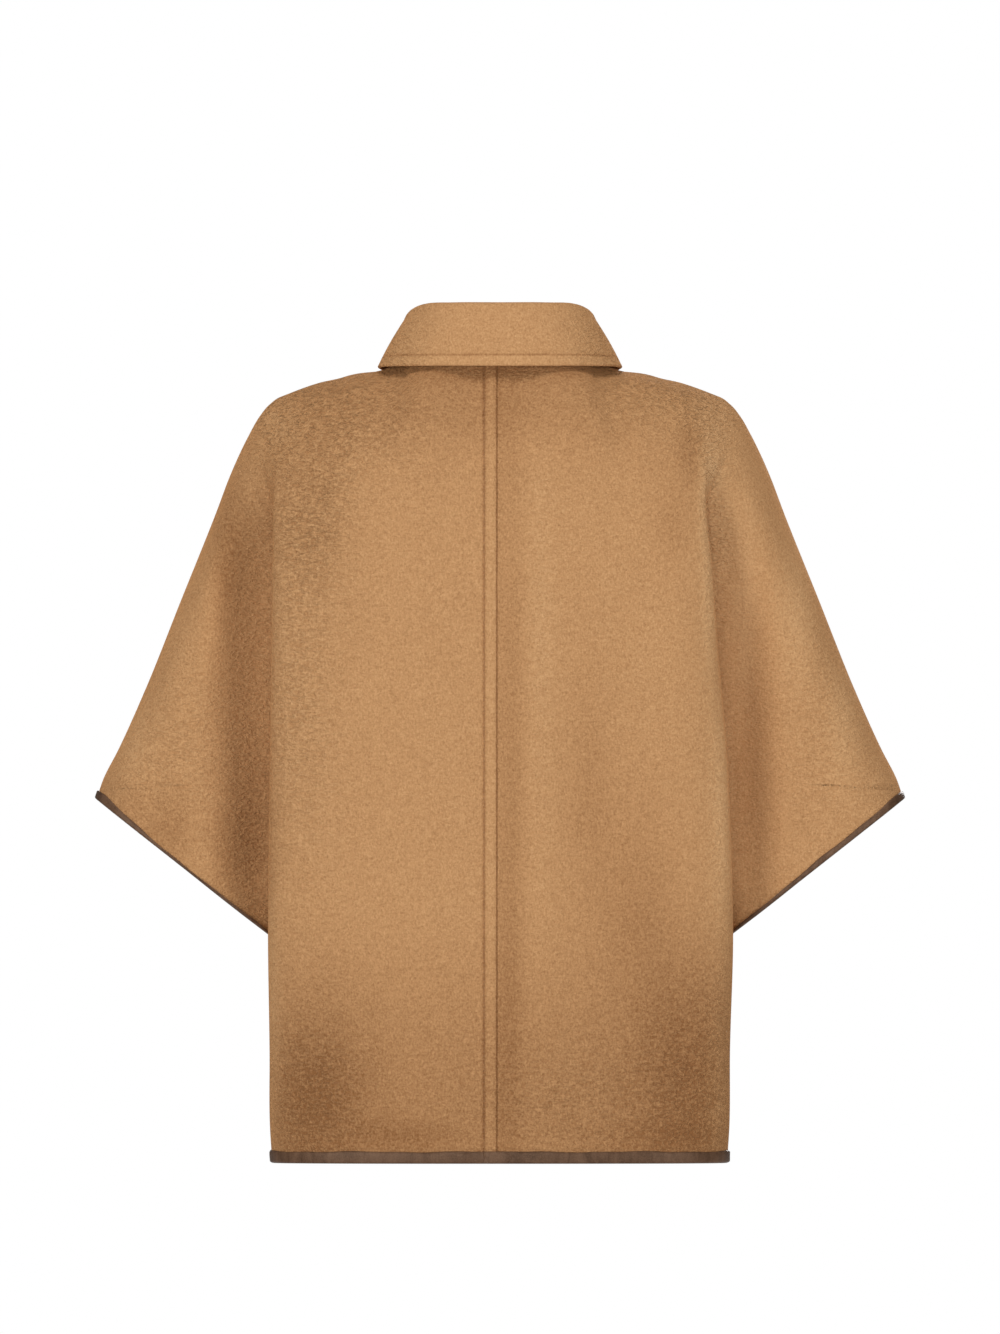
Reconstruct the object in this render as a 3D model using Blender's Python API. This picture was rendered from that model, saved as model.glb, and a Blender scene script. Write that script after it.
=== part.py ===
# A short cashmere jacket cut like a cape, worn and hollow, for Blender 4.5.
#
# Metres, +Z up. The back faces -Y, and +X is the wearer's right.
# Heights in the tables are above the hem. The origin is the middle of the neck,
# at the height of the shoulders, where the wearer holds the jacket up.
# Each panel is cut in one with its half of the sleeve. A panel is a grid: its rows run
# from the centre out over the body's edge fold to the side seam, the cuff or the overarm,
# and its last column is that edge, from the hem up to the shoulder.

import bpy
import numpy as np

# Driving dimensions
HELD_HEIGHT = 0.713        # from the hem up to the origin
CLOTH = 0.0022             # wall of the double-faced cashmere
LEATHER = 0.0011           # wall of the binding
SEAM_GAP = 0.0003          # between two pieces at a seam
BINDING_HIGH = 0.011
BINDING_EASE = 0.0009      # between the leather and the cloth inside it
BINDING_FLOOR = 0.0013     # leather under the cloth's edge
HEM_EDGE = BINDING_FLOOR + BINDING_EASE
SEAM_X = -0.0027           # the centre back seam, a little to the wearer's left
BAND_WIDE = 0.0115         # raised seam band beside it, on the left back
BAND_PROUD = 0.0009
LAP = 0.016                # how far each front passes the centre
LAP_SHIFT = 0.0034         # each front moves half the lap's thickness, out or in
LAP_SHIFT_TOP = 0.0016     # and less at the neck, where there is no leather
LAP_BLEND = 0.045

NECK_HALF_WIDTH = 0.080
NECK_POINT_HEIGHT = 0.723
NECK = {"back": {"deep": 0.062, "height": 0.735}, "front": {"deep": 0.074, "height": 0.664}}
SHOULDER_ROUND = {"back": 0.110, "front": 0.130}
SHOULDER_POWER = {"back": 1.1, "front": 1.25}
OVERARM_ROUND = 0.055
OVERARM_LEAN = 0.92            # cosine of the overarm's slope

ARMPIT = (0.1880, 0.2270)      # half width and height, top of the side seam
CUFF_LOW = (0.2052, 0.2054)    # low end of the cuff, under the arm
CUFF_TIP = (0.3625, 0.3290)    # outer end of the cuff
CUFF_BAND = 0.0125             # last column of the panel, which the binding wraps
UNDERARM_ROUND = 0.040

# Shoulder line and overarm, from the neck point out and down to the cuff's tip
OUTLINE = (
    # half width, height
    (0.0800, 0.7230),
    (0.1000, 0.7155),
    (0.1110, 0.7120),
    (0.1170, 0.7114),
    (0.1260, 0.7105),
    (0.1350, 0.7087),
    (0.1440, 0.7060),
    (0.1620, 0.7020),
    (0.1800, 0.6960),
    (0.1890, 0.6925),
    (0.1980, 0.6890),
    (0.2070, 0.6826),
    (0.2160, 0.6720),
    (0.2250, 0.6565),
    (0.2340, 0.6385),
    (0.2430, 0.6180),
    (0.2547, 0.5870),
    (0.2871, 0.5060),
    (0.3195, 0.4250),
    (0.3438, 0.3710),
    (0.3575, 0.3440),
    (0.3625, 0.3290),
)
SHOULDER_END = 10              # the row of OUTLINE where the top edge ends

# The side seam, from the hem to the armpit
SIDE_SEAM = (
    # height, half width
    (0.000, 0.2050),
    (0.060, 0.2060),
    (0.120, 0.2055),
    (0.160, 0.2035),
    (0.195, 0.1950),
    (0.227, 0.1880),
)

# The body's edge fold, seen from behind: its half width on each side
EDGE_FOLD = (
    # height, left, right
    (0.000, 0.2048, 0.2042),
    (0.030, 0.2068, 0.2062),
    (0.100, 0.2072, 0.2068),
    (0.207, 0.2085, 0.2095),
    (0.281, 0.2080, 0.2080),
    (0.362, 0.2070, 0.2045),
    (0.455, 0.2055, 0.1965),
    (0.542, 0.2045, 0.1900),
    (0.596, 0.2035, 0.1850),
    (0.640, 0.2000, 0.1870),
    (0.690, 0.1890, 0.1890),
)
TOP_FOLD = 0.1890

# Depths of the body's sections, from the plane of the side seams
SECTIONS = {
    "back": (
        # height, centre, edge fold, sleeve
        (0.000, 0.104, 0.026, 0.040),
        (0.100, 0.108, 0.044, 0.044),
        (0.207, 0.111, 0.070, 0.048),
        (0.330, 0.114, 0.077, 0.052),
        (0.450, 0.117, 0.082, 0.056),
        (0.550, 0.118, 0.087, 0.064),
        (0.620, 0.117, 0.089, 0.076),
        (0.735, 0.116, 0.088, 0.084),
    ),
    "front": (
        # height, centre, edge fold, sleeve
        (0.000, 0.106, 0.026, 0.040),
        (0.100, 0.111, 0.044, 0.044),
        (0.207, 0.116, 0.068, 0.048),
        (0.330, 0.120, 0.076, 0.052),
        (0.450, 0.124, 0.082, 0.056),
        (0.550, 0.124, 0.088, 0.066),
        (0.620, 0.120, 0.090, 0.078),
        (0.735, 0.116, 0.088, 0.084),
    ),
}
SHARP_BELOW = 0.560            # the edge fold is sharp below this height
SOFT_ABOVE = 0.665             # and gone above this one
UNDERCUT = (0.0110, 0.0060)    # how far the valley lies inside the edge fold, low and high
UNDERCUT_HEIGHTS = (0.23, 0.36)
VALLEY_RUN = 0.022             # how far outside it where the fold is soft

# Beside the body the sleeve sinks in, then rises to its own depth
SLEEVE_DIP = (
    # height, left, right
    (0.200, 0.010, 0.009),
    (0.330, 0.024, 0.022),
    (0.450, 0.030, 0.019),
    (0.550, 0.020, 0.010),
    (0.640, 0.000, 0.000),
)
SLEEVE_DIP_RUN = {"left": 0.066, "right": 0.056}

# Large soft folds: a ridge stands out, a trough has a negative depth
FOLDS = {
    "back": (
        # top x, top height, foot x, foot height, half width, depth
        (0.036, 0.620, 0.034, 0.040, 0.030, 0.0030),
        (0.084, 0.400, 0.112, 0.060, 0.034, -0.0045),
        (0.160, 0.560, 0.176, 0.250, 0.032, 0.0040),
        (0.128, 0.200, 0.186, 0.000, 0.036, -0.0050),
        (-0.188, 0.660, -0.152, 0.480, 0.030, -0.0030),
        (-0.150, 0.180, -0.190, 0.000, 0.042, -0.0055),
        (-0.075, 0.520, -0.066, 0.060, 0.040, 0.0022),
        (-0.232, 0.610, -0.242, 0.400, 0.024, -0.0030),
        (0.222, 0.500, 0.226, 0.400, 0.020, -0.0025),
        (-0.300, 0.500, -0.292, 0.320, 0.034, 0.0030),
        (0.290, 0.520, 0.300, 0.330, 0.034, 0.0030),
    ),
    "front": (
        # top x, top height, foot x, foot height, half width, depth
        (0.062, 0.540, 0.070, 0.030, 0.034, 0.0040),
        (0.120, 0.480, 0.136, 0.040, 0.036, -0.0045),
        (-0.058, 0.520, -0.074, 0.020, 0.036, 0.0038),
        (-0.124, 0.500, -0.132, 0.060, 0.038, -0.0048),
        (0.180, 0.300, 0.182, 0.000, 0.028, 0.0030),
        (-0.176, 0.340, -0.184, 0.000, 0.030, 0.0030),
        (0.234, 0.560, 0.240, 0.400, 0.026, -0.0030),
        (-0.230, 0.600, -0.240, 0.400, 0.026, -0.0025),
        (0.296, 0.500, 0.298, 0.320, 0.034, 0.0030),
        (-0.292, 0.520, -0.300, 0.330, 0.034, 0.0030),
    ),
}

# Collar: rings round the neck at the seam, the fold and the fall's edge
COLLAR_WALL = 0.0026
COLLAR_FOLD_ROUND = 0.0038
COLLAR = (
    # degrees from the centre back, fold's height, depth of the fall's edge, its height
    (0.0, 0.7712, 0.0815, 0.7163),
    (30.0, 0.7712, 0.0815, 0.7163),
    (57.0, 0.7698, 0.0815, 0.7160),
    (75.0, 0.7620, 0.0900, 0.7168),
    (90.0, 0.7550, 0.1150, 0.7182),
    (110.0, 0.7440, 0.1390, 0.7100),
    (135.0, 0.7270, 0.1345, 0.6830),
    (160.0, 0.7110, 0.1200, 0.6520),
    (180.0, 0.7020, 0.1150, 0.6400),
)
FALL_HALF_WIDTH = 0.1080
FALL_SQUARE = 2.4              # power of the ring that the fall's edge follows
FALL_PROUD = 0.0012            # how far the fall bellies out
FALL_END = 152.0               # degrees, where the fall's edge reaches the collar point
STAND_END = 178.4

BODY_ROWS = (0.014, 0.050, 0.095, 0.140, 0.185, 0.227)
CUFF_STEPS = (0.0, 0.03, 0.08, 0.14, 0.22, 0.30, 0.38, 0.47, 0.58, 0.70, 0.81, 0.89, 0.95, 0.98, 1.0)
CUFF_END_SLIDE = 0.50          # the band's points at the cuff's ends stand clear of the seams
# How much of the binding's height is outside: the rest of the leather is rolled under the cuff
CUFF_SHOWS = (
    # step from the underarm seam to the tip, left, right
    (0.00, 0.22, 0.22),
    (0.30, 0.22, 0.36),
    (0.60, 0.22, 0.48),
    (0.80, 0.50, 0.57),
    (1.00, 0.74, 0.66),
)
CUFF_LEVELS = (0.235, 0.340)   # heights at the centre of the rows that end at the cuff's ends
OVERARM_ROWS = 8
NECK_COLUMNS = 6               # the collar has as many from the centre to the shoulder
BODY_COLUMNS = {"back": 5, "front": 4}
VALLEY_COLUMNS = 3
SLEEVE_COLUMNS = 6

COLOURS = {
    # linear colour, roughness
    "cashmere": ((0.480, 0.260, 0.115, 1.0), 0.90),
    "leather": ((0.125, 0.066, 0.034, 1.0), 0.42),
}


def through(table, column, at):
    """A smooth curve through one column of a table, whose first column is the position."""
    rows = np.array(table, float)
    if rows[0, 0] > rows[-1, 0]:
        rows = rows[::-1]
    x, y = rows[:, 0], rows[:, column]
    slope = np.gradient(y, x)
    at = np.clip(np.asarray(at, float), x[0], x[-1])
    i = np.clip(np.searchsorted(x, at, side="right") - 1, 0, len(x) - 2)
    width = x[i + 1] - x[i]
    t = (at - x[i]) / width
    rise = y[i + 1] - y[i]
    a = slope[i] * width - rise
    b = rise - slope[i + 1] * width
    return y[i] + t * rise + t * (1 - t) * ((1 - t) * a + t * b)


def ease(low, high, at):
    """0 below low, 1 above high, smooth between them."""
    t = np.clip((at - low) / (high - low), 0.0, 1.0)
    return t * t * (3.0 - 2.0 * t)


def rounded(distance, radius, power):
    """A rounded edge: 0 at the edge, 1 at the radius and beyond."""
    t = np.clip(1.0 - distance / radius, 0.0, 1.0)
    return (1.0 - t ** power) ** (1.0 / power)


def outline_at(height):
    """Half width of the overarm at a height, carried on straight below the cuff's tip."""
    flipped = [(h, w) for w, h in OUTLINE]
    (w0, h0), (w1, h1) = OUTLINE[-1], OUTLINE[-4]
    below = np.minimum(height - h0, 0.0) * (w1 - w0) / (h1 - h0)
    return through(flipped, 1, height) + below


def top_at(half_width, face):
    """Height of a panel's top edge: the neckline, then the shoulder seam, carried on straight."""
    neck = NECK[face]["height"]
    share = np.clip(half_width / NECK_HALF_WIDTH, 0.0, 1.0)
    neckline = neck + (NECK_POINT_HEIGHT - neck) * share ** 2.2
    (w0, h0), (w1, h1) = OUTLINE[SHOULDER_END], OUTLINE[SHOULDER_END - 2]
    beyond = np.maximum(half_width - w0, 0.0) * (h1 - h0) / (w1 - w0)
    shoulder = through(OUTLINE[:SHOULDER_END + 1], 1, half_width) + beyond
    return np.where(half_width < NECK_HALF_WIDTH, neckline, shoulder)


def soft_folds(x, height, face):
    """How far the large folds move the cloth outwards."""
    moved = np.zeros(np.broadcast(x, height).shape)
    for top_x, top, foot_x, foot, wide, depth in FOLDS[face]:
        along = (top - height) / (top - foot)
        middle = top_x + (foot_x - top_x) * along
        runs = ease(-0.15, 0.35, along) * (1.0 - ease(0.95, 1.45, along))
        moved = moved + depth * runs * np.exp(-(((x - middle) / wide) ** 2))
    return moved


def panel_depth(width, height, side, face, share, sleeve, open_run):
    """Depth of the cloth from the plane of the side seams, at a half width and a height.

    share runs 0 to 1 from the centre to the edge fold, and sleeve 0 to 1 from the fold
    through the valley on to the sleeve. open_run is the way from the underarm seam.
    """
    sections = SECTIONS[face]
    centre = through(sections, 1, height)
    edge = through(sections, 2, height)
    arm = through(sections, 3, height)
    hand = "left" if side < 0 else "right"
    dip = through(SLEEVE_DIP, 1 if side < 0 else 2, height)
    fold = through(EDGE_FOLD, 1 if side < 0 else 2, height)
    arm = arm - dip * (1 - ease(0.0, SLEEVE_DIP_RUN[hand], width - fold))
    soft = ease(SHARP_BELOW, SOFT_ABOVE, height)
    turn = (1 - soft) * (1 - (1 - share ** 3) ** (1 / 3)) + soft * share ** 3
    plateau = (centre - (centre - edge) * turn) * (1 - sleeve) + arm * sleeve
    plateau = plateau + soft_folds(side * width, height, face)
    overarm = np.maximum(outline_at(height) - width, 0.0) * OVERARM_LEAN
    plateau = plateau * rounded(overarm, OVERARM_ROUND, 2.2)
    plateau = plateau * (1 - sleeve + sleeve * rounded(open_run, UNDERARM_ROUND, 2.2))
    down = np.maximum(top_at(width, face) - height, 0.0)
    wide = NECK_HALF_WIDTH + 0.35 * down
    neck = NECK[face]["deep"] * np.sqrt(np.clip(1 - (width / wide) ** 2, 0.0, 1.0))
    power = SHOULDER_POWER[face]
    power = power + (2.0 - power) * ease(0.015, 0.095, width)
    top = rounded(down, SHOULDER_ROUND[face], power)
    return neck + (plateau - neck) * top


def edge_rows():
    """Each row's level at the centre, and where it ends on the panel's outer edge."""
    levels = (HEM_EDGE,) + BODY_ROWS
    rows = [("side", h, (float(through(SIDE_SEAM, 1, h)), h), 0.0) for h in levels]
    low, tip = np.array(CUFF_LOW), np.array(CUFF_TIP)
    for step in CUFF_STEPS:
        level = CUFF_LEVELS[0] + (CUFF_LEVELS[1] - CUFF_LEVELS[0]) * step
        rows.append(("cuff", level, tuple(low + (tip - low) * step), step))
    outline = np.array(OUTLINE[SHOULDER_END:])[::-1]
    run = np.concatenate([[0], np.cumsum(np.hypot(*np.diff(outline, axis=0).T))])
    top = NECK["back"]["height"]
    for i in range(1, OVERARM_ROWS + 1):
        share = 1 - (1 - i / OVERARM_ROWS) ** 1.35
        height = float(np.interp(share * run[-1], run, outline[:, 1]))
        level = CUFF_LEVELS[1] + (top - CUFF_LEVELS[1]) * share
        rows.append(("overarm", level, (float(outline_at(height)), height), share))
    return rows


def cuff_inward(step):
    """Direction from the cuff's edge into the sleeve: up the underarm seam, then up the overarm."""
    under = np.array(ARMPIT) - np.array(CUFF_LOW)
    over = np.array(OUTLINE[-4]) - np.array(OUTLINE[-1])
    way = under / np.hypot(*under) * (1 - step) + over / np.hypot(*over) * step
    return way / np.hypot(*way)


def body_widths(side, face, fold, droop):
    """Half widths of a row's columns from the centre to the edge fold.

    At the top the first ones stand at even angles round the neck, and lower down they even out.
    """
    start = side * SEAM_X + SEAM_GAP / 2 if face == "back" else 0.0
    turn = np.arange(NECK_COLUMNS + 1) / NECK_COLUMNS
    round_neck = NECK_HALF_WIDTH * np.sin(turn * np.pi / 2)
    round_neck[0] = start
    low_neck = NECK_HALF_WIDTH * fold / TOP_FOLD
    even = start + (low_neck - start) * turn
    neck = even + (round_neck - even) * droop
    t = np.arange(1, BODY_COLUMNS[face] + 1) / BODY_COLUMNS[face]
    widths = np.concatenate([neck, neck[-1] + (fold - neck[-1]) * (1 - (1 - t) ** 1.8)])
    if face == "front":
        widths = np.insert(widths, 0, -LAP)
    elif side < 0:
        edge = start + BAND_WIDE
        widths = np.insert(widths, 1, (edge, edge + BAND_PROUD))
    return widths


def panel_row(side, face, row):
    """One row of a panel: half widths, heights, shares to the fold, and shares into the sleeve."""
    kind, level, end, step = row
    end = np.array(end)
    droop = float(ease(CUFF_LEVELS[1], NECK["back"]["height"], level))
    top_widths = body_widths(side, face, TOP_FOLD, 1.0)
    drop = NECK["back"]["height"] - top_at(np.abs(top_widths), face)
    heights = level - droop * drop
    fold = float(through(EDGE_FOLD, 1 if side < 0 else 2, heights[-1]))
    widths = body_widths(side, face, fold, droop)
    soft = float(ease(SHARP_BELOW, SOFT_ABOVE, heights[-1]))
    at_fold = np.array((fold, heights[-1]))
    under = UNDERCUT[0] + (UNDERCUT[1] - UNDERCUT[0]) * float(ease(*UNDERCUT_HEIGHTS, heights[-1]))
    reach = -under * (1 - soft) + VALLEY_RUN * soft
    reach = min(reach, 0.4 * max(end[0] - fold, 0.0)) if kind == "overarm" else reach
    share = reach / (end[0] - fold) if kind == "overarm" else 0.0
    valley = at_fold + np.array((reach, share * (end[1] - at_fold[1])))
    v = np.arange(1, VALLEY_COLUMNS + 1) / VALLEY_COLUMNS
    s = np.arange(1, SLEEVE_COLUMNS + 1) / SLEEVE_COLUMNS
    if kind == "cuff":
        last = end + cuff_inward(step) * CUFF_BAND
        bend = 1.0 + 0.9 * step
    else:
        last = valley + (end - valley) * 0.98
        bend = 1.9
    dip = at_fold + np.outer(ease(0, 1, v), valley - at_fold)
    arm = valley + np.outer(1 - (1 - s) ** bend, last - valley)
    outer = np.vstack([dip, arm, end])
    widths = np.concatenate([widths, outer[:, 0]])
    heights = np.concatenate([heights, outer[:, 1]])
    if kind == "overarm" and step == 1.0:
        heights = top_at(np.abs(widths), face)
        heights[-1] = end[1]
    shares = np.clip(np.abs(widths) / fold, 0.0, 1.0)
    into = np.concatenate([np.zeros(len(widths) - len(outer)), ease(0, 1, v), np.ones(len(s) + 1)])
    shares[into > 0] = 1.0
    return widths, heights, shares, into


def open_run(widths, heights):
    """Distance from the underarm seam, along the cuff."""
    out = np.array(CUFF_TIP) - np.array(CUFF_LOW)
    out = out / np.hypot(*out)
    return np.maximum((widths - CUFF_LOW[0]) * out[0] + (heights - CUFF_LOW[1]) * out[1], 0.0)


def place(side, face, widths, heights, depths):
    """Points in the part's frame from half widths, heights above the hem and depths."""
    away = -1.0 if face == "back" else 1.0
    return np.stack([side * widths, away * (depths + SEAM_GAP / 2), heights - HELD_HEIGHT], -1)


def lap_shift(side, widths, heights):
    """The fronts lie on each other past the centre: one moves out and the other in."""
    thick = LAP_SHIFT + (LAP_SHIFT_TOP - LAP_SHIFT) * ease(0.56, 0.66, heights)
    return side * thick * (1 - ease(LAP * 1.1, LAP + LAP_BLEND, widths))


def panel_points(side, face):
    """Outer points of a panel, by rows and columns, in the part's frame."""
    rows = []
    for row in edge_rows():
        widths, heights, shares, into = panel_row(side, face, row)
        if row[0] == "side":
            tail = VALLEY_COLUMNS + SLEEVE_COLUMNS + 1
            body = len(widths) - tail
            fold = widths[body - 1]
            wall = np.concatenate([
                0.5 * np.arange(1, VALLEY_COLUMNS + 1) / VALLEY_COLUMNS,
                0.5 + 0.45 * np.arange(1, SLEEVE_COLUMNS + 1) / SLEEVE_COLUMNS,
                [1.0],
            ])
            bend = 2.0 - 1.5 * float(ease(0.0, ARMPIT[1], row[1]))
            widths[body:] = fold + (row[2][0] - fold) * wall ** bend
            heights[body:] = row[1]
            run = np.full(len(widths), UNDERARM_ROUND)
            depths = panel_depth(np.abs(widths), heights, side, face, shares, 0 * into, run)
            depths[body:] = depths[body - 1] * (1 - wall)
        else:
            run = open_run(widths, heights)
            depths = panel_depth(np.abs(widths), heights, side, face, shares, into, run)
        if face == "back" and side < 0:
            depths[:2] += BAND_PROUD
        if face == "front":
            depths = depths + lap_shift(side, widths, heights)
        rows.append(place(side, face, widths, heights, depths))
    points = np.array(rows)
    cuff = [i for i, row in enumerate(edge_rows()) if row[0] == "cuff"]
    for row, beside in ((cuff[0], cuff[1]), (cuff[-1], cuff[-2])):
        points[row, -2] += (points[beside, -2] - points[row, -2]) * CUFF_END_SLIDE
    return points


def wall_ways(points, flip):
    """For each point of a grid, the way through the wall for each unit of its thickness."""
    across = points[1:, 1:] - points[:-1, :-1]
    back = points[1:, :-1] - points[:-1, 1:]
    normal = np.cross(across, back)
    size = np.linalg.norm(normal, axis=-1, keepdims=True)
    normal = flip * normal / np.maximum(size, 1e-12) * (size > 1e-10)
    total = np.zeros(points.shape)
    count = np.zeros(points.shape[:2] + (1,))
    for di in (0, 1):
        for dj in (0, 1):
            part = (slice(di, total.shape[0] - 1 + di), slice(dj, total.shape[1] - 1 + dj))
            total[part] += normal
            count[part] += size > 1e-10
    return total / np.maximum(count, 1)


def mitred(ways):
    """A mean of face normals made the vector that keeps the wall's thickness."""
    size = np.maximum(np.linalg.norm(ways, axis=-1, keepdims=True), 0.4)
    return ways / size ** 2


def panel_ways(side, face, points):
    """The ways through a panel's wall, flat in the seams' planes so that the edges meet."""
    flip = side if face == "back" else -side
    ways = wall_ways(points, flip)
    rows = edge_rows()
    seam = [i for i, row in enumerate(rows) if row[0] != "cuff" or row[3] in (0.0, 1.0)]
    ways[seam, -1, 1] = 0.0
    neck = NECK_COLUMNS + (1 if face == "front" else 2 * (side < 0))
    ways[-1, neck:, 1] = 0.0
    if face == "back":
        ways[:, 0, 0] = 0.0
    ways[0, :, 2] = 0.0
    stand = neck_way(points[-1, :neck + 1, 0], face)
    ways[-1, :neck] = (ways[-1, :neck] + stand[:neck]) / 2
    ways = mitred(ways)
    cuff = [i for i, row in enumerate(rows) if row[0] == "cuff"]
    ways[cuff, -2] = ways[cuff, -1]
    return ways


def neck_way(x, face):
    """Level direction away from the neck, at a point of the neckline."""
    deep = NECK[face]["deep"] * (-1 if face == "back" else 1)
    turn = np.arcsin(np.clip(x / NECK_HALF_WIDTH, -1, 1))
    way = np.stack([np.sin(turn) / NECK_HALF_WIDTH, np.cos(turn) / deep, 0 * x], -1)
    return way / np.linalg.norm(way, axis=-1, keepdims=True)


def shell(name, outer, inner, finish, closed=False):
    """A wall between two grids of points. closed joins its last row to its first."""
    rows, columns = outer.shape[:2]
    count = rows * columns
    index = np.arange(count).reshape(rows, columns)
    if closed:
        index = np.vstack([index, index[:1]])
    faces = []
    for sheet, turn in ((index, 1), (index + count, -1)):
        quads = np.stack([sheet[:-1, :-1], sheet[:-1, 1:], sheet[1:, 1:], sheet[1:, :-1]], -1)
        faces.append(quads.reshape(-1, 4)[:, ::turn])
    rims = [(index[:, 0], 1), (index[:, -1], -1)]
    if not closed:
        rims += [(index[0], -1), (index[-1], 1)]
    for line, turn in rims:
        quads = np.stack([line[:-1], line[1:], line[1:] + count, line[:-1] + count], -1)
        faces.append(quads[:, ::turn])
    faces = np.concatenate(faces)
    points = np.concatenate([outer.reshape(-1, 3), inner.reshape(-1, 3)])
    a, b, c, d = (points[faces[:, i]] for i in range(4))
    volume = np.einsum("ij,ij->", np.cross(a, b), c) + np.einsum("ij,ij->", np.cross(a, c), d)
    if volume < 0:
        faces = faces[:, ::-1]
    mesh = bpy.data.meshes.new(name)
    mesh.from_pydata(points.tolist(), [], faces.tolist())
    mesh.validate()
    mesh.shade_smooth()
    mesh.set_sharp_from_angle(angle=np.radians(40))
    mesh.materials.append(material(finish))
    piece = bpy.data.objects.new(name, mesh)
    bpy.context.scene.collection.objects.link(piece)
    return piece


def material(finish):
    """One Principled material for each finish, made once."""
    known = bpy.data.materials.get(finish)
    if known:
        return known
    made = bpy.data.materials.new(finish)
    made.use_nodes = True
    colour, roughness = COLOURS[finish]
    shader = made.node_tree.nodes["Principled BSDF"]
    shader.inputs["Base Color"].default_value = colour
    shader.inputs["Roughness"].default_value = roughness
    shader.inputs["Metallic"].default_value = 0.0
    return made


def binding(name, edge, inward, ways, shows, closed):
    """Leather folded over an edge. inward runs into the cloth, ways through its wall.

    shows is the share of the leather's height that lies outside, at each point of the edge.
    """
    out, slip = BINDING_EASE + LEATHER, BINDING_EASE
    lip = LEATHER * 0.8
    skin = (
        # above the leather's lowest line, out from the cloth's outer face
        (BINDING_HIGH, out), (lip, out), (0.0, out - lip),
        (0.0, lip - out - CLOTH), (lip, -out - CLOTH), (BINDING_HIGH, -out - CLOTH),
    )
    lining = (
        (BINDING_HIGH, slip), (BINDING_FLOOR + slip / 2, slip), (BINDING_FLOOR, slip / 2),
        (BINDING_FLOOR, -slip / 2 - CLOTH), (BINDING_FLOOR + slip / 2, -slip - CLOTH),
        (BINDING_HIGH, -slip - CLOTH),
    )
    grids = []
    for line in (skin, lining):
        up = np.tile([a - HEM_EDGE for a, b in line], (len(edge), 1))
        up[:, 0] = BINDING_HIGH * shows - HEM_EDGE
        over = np.array([b for a, b in line])[None, :, None]
        grids.append(edge[:, None] + inward[:, None] * up[..., None] + ways[:, None] * over)
    return shell(name, grids[0], grids[1], "leather", closed)


def both(back, front):
    """A path round both panels, from the back's first point to the front's."""
    middle = (back[-1:] + front[-1:]) / 2
    return np.concatenate([back[:-1], middle, front[-2::-1]])


def hem_binding(name, panels):
    edges, inwards, ways = [], [], []
    for points, way in panels:
        up = points[1] - points[0]
        edges.append(points[0])
        inwards.append(up / np.linalg.norm(up, axis=-1, keepdims=True))
        ways.append(way[0])
    edge = both(*edges)
    return binding(name, edge, both(*inwards), both(*ways), np.ones(len(edge)), False)


def cuff_binding(name, panels, side):
    """The panel's last column is wrapped: into the cloth is square to the cuff's edge."""
    rows = [i for i, row in enumerate(edge_rows()) if row[0] == "cuff"]
    shows = through(CUFF_SHOWS, 1 if side < 0 else 2, CUFF_STEPS)
    edges, inwards, ways = [], [], []
    for points, way in panels:
        edge = points[rows, -1]
        along = np.gradient(edge, axis=0)
        along /= np.linalg.norm(along, axis=-1, keepdims=True)
        up = points[rows, -2] - edge
        up -= along * np.sum(up * along, axis=-1, keepdims=True)
        up[0] = points[rows[0] - 1, -1] - edge[0]
        up[-1] = points[rows[-1] + 1, -1] - edge[-1]
        edges.append(edge)
        inwards.append(up / np.linalg.norm(up, axis=-1, keepdims=True))
        ways.append(way[rows, -1])
    grids = [both(*grid)[:-1] for grid in (edges, inwards, ways)]
    for grid in grids:
        grid[0, 1] = 0.0
    return binding(name, *grids, both(shows, shows)[:-1], True)


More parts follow.
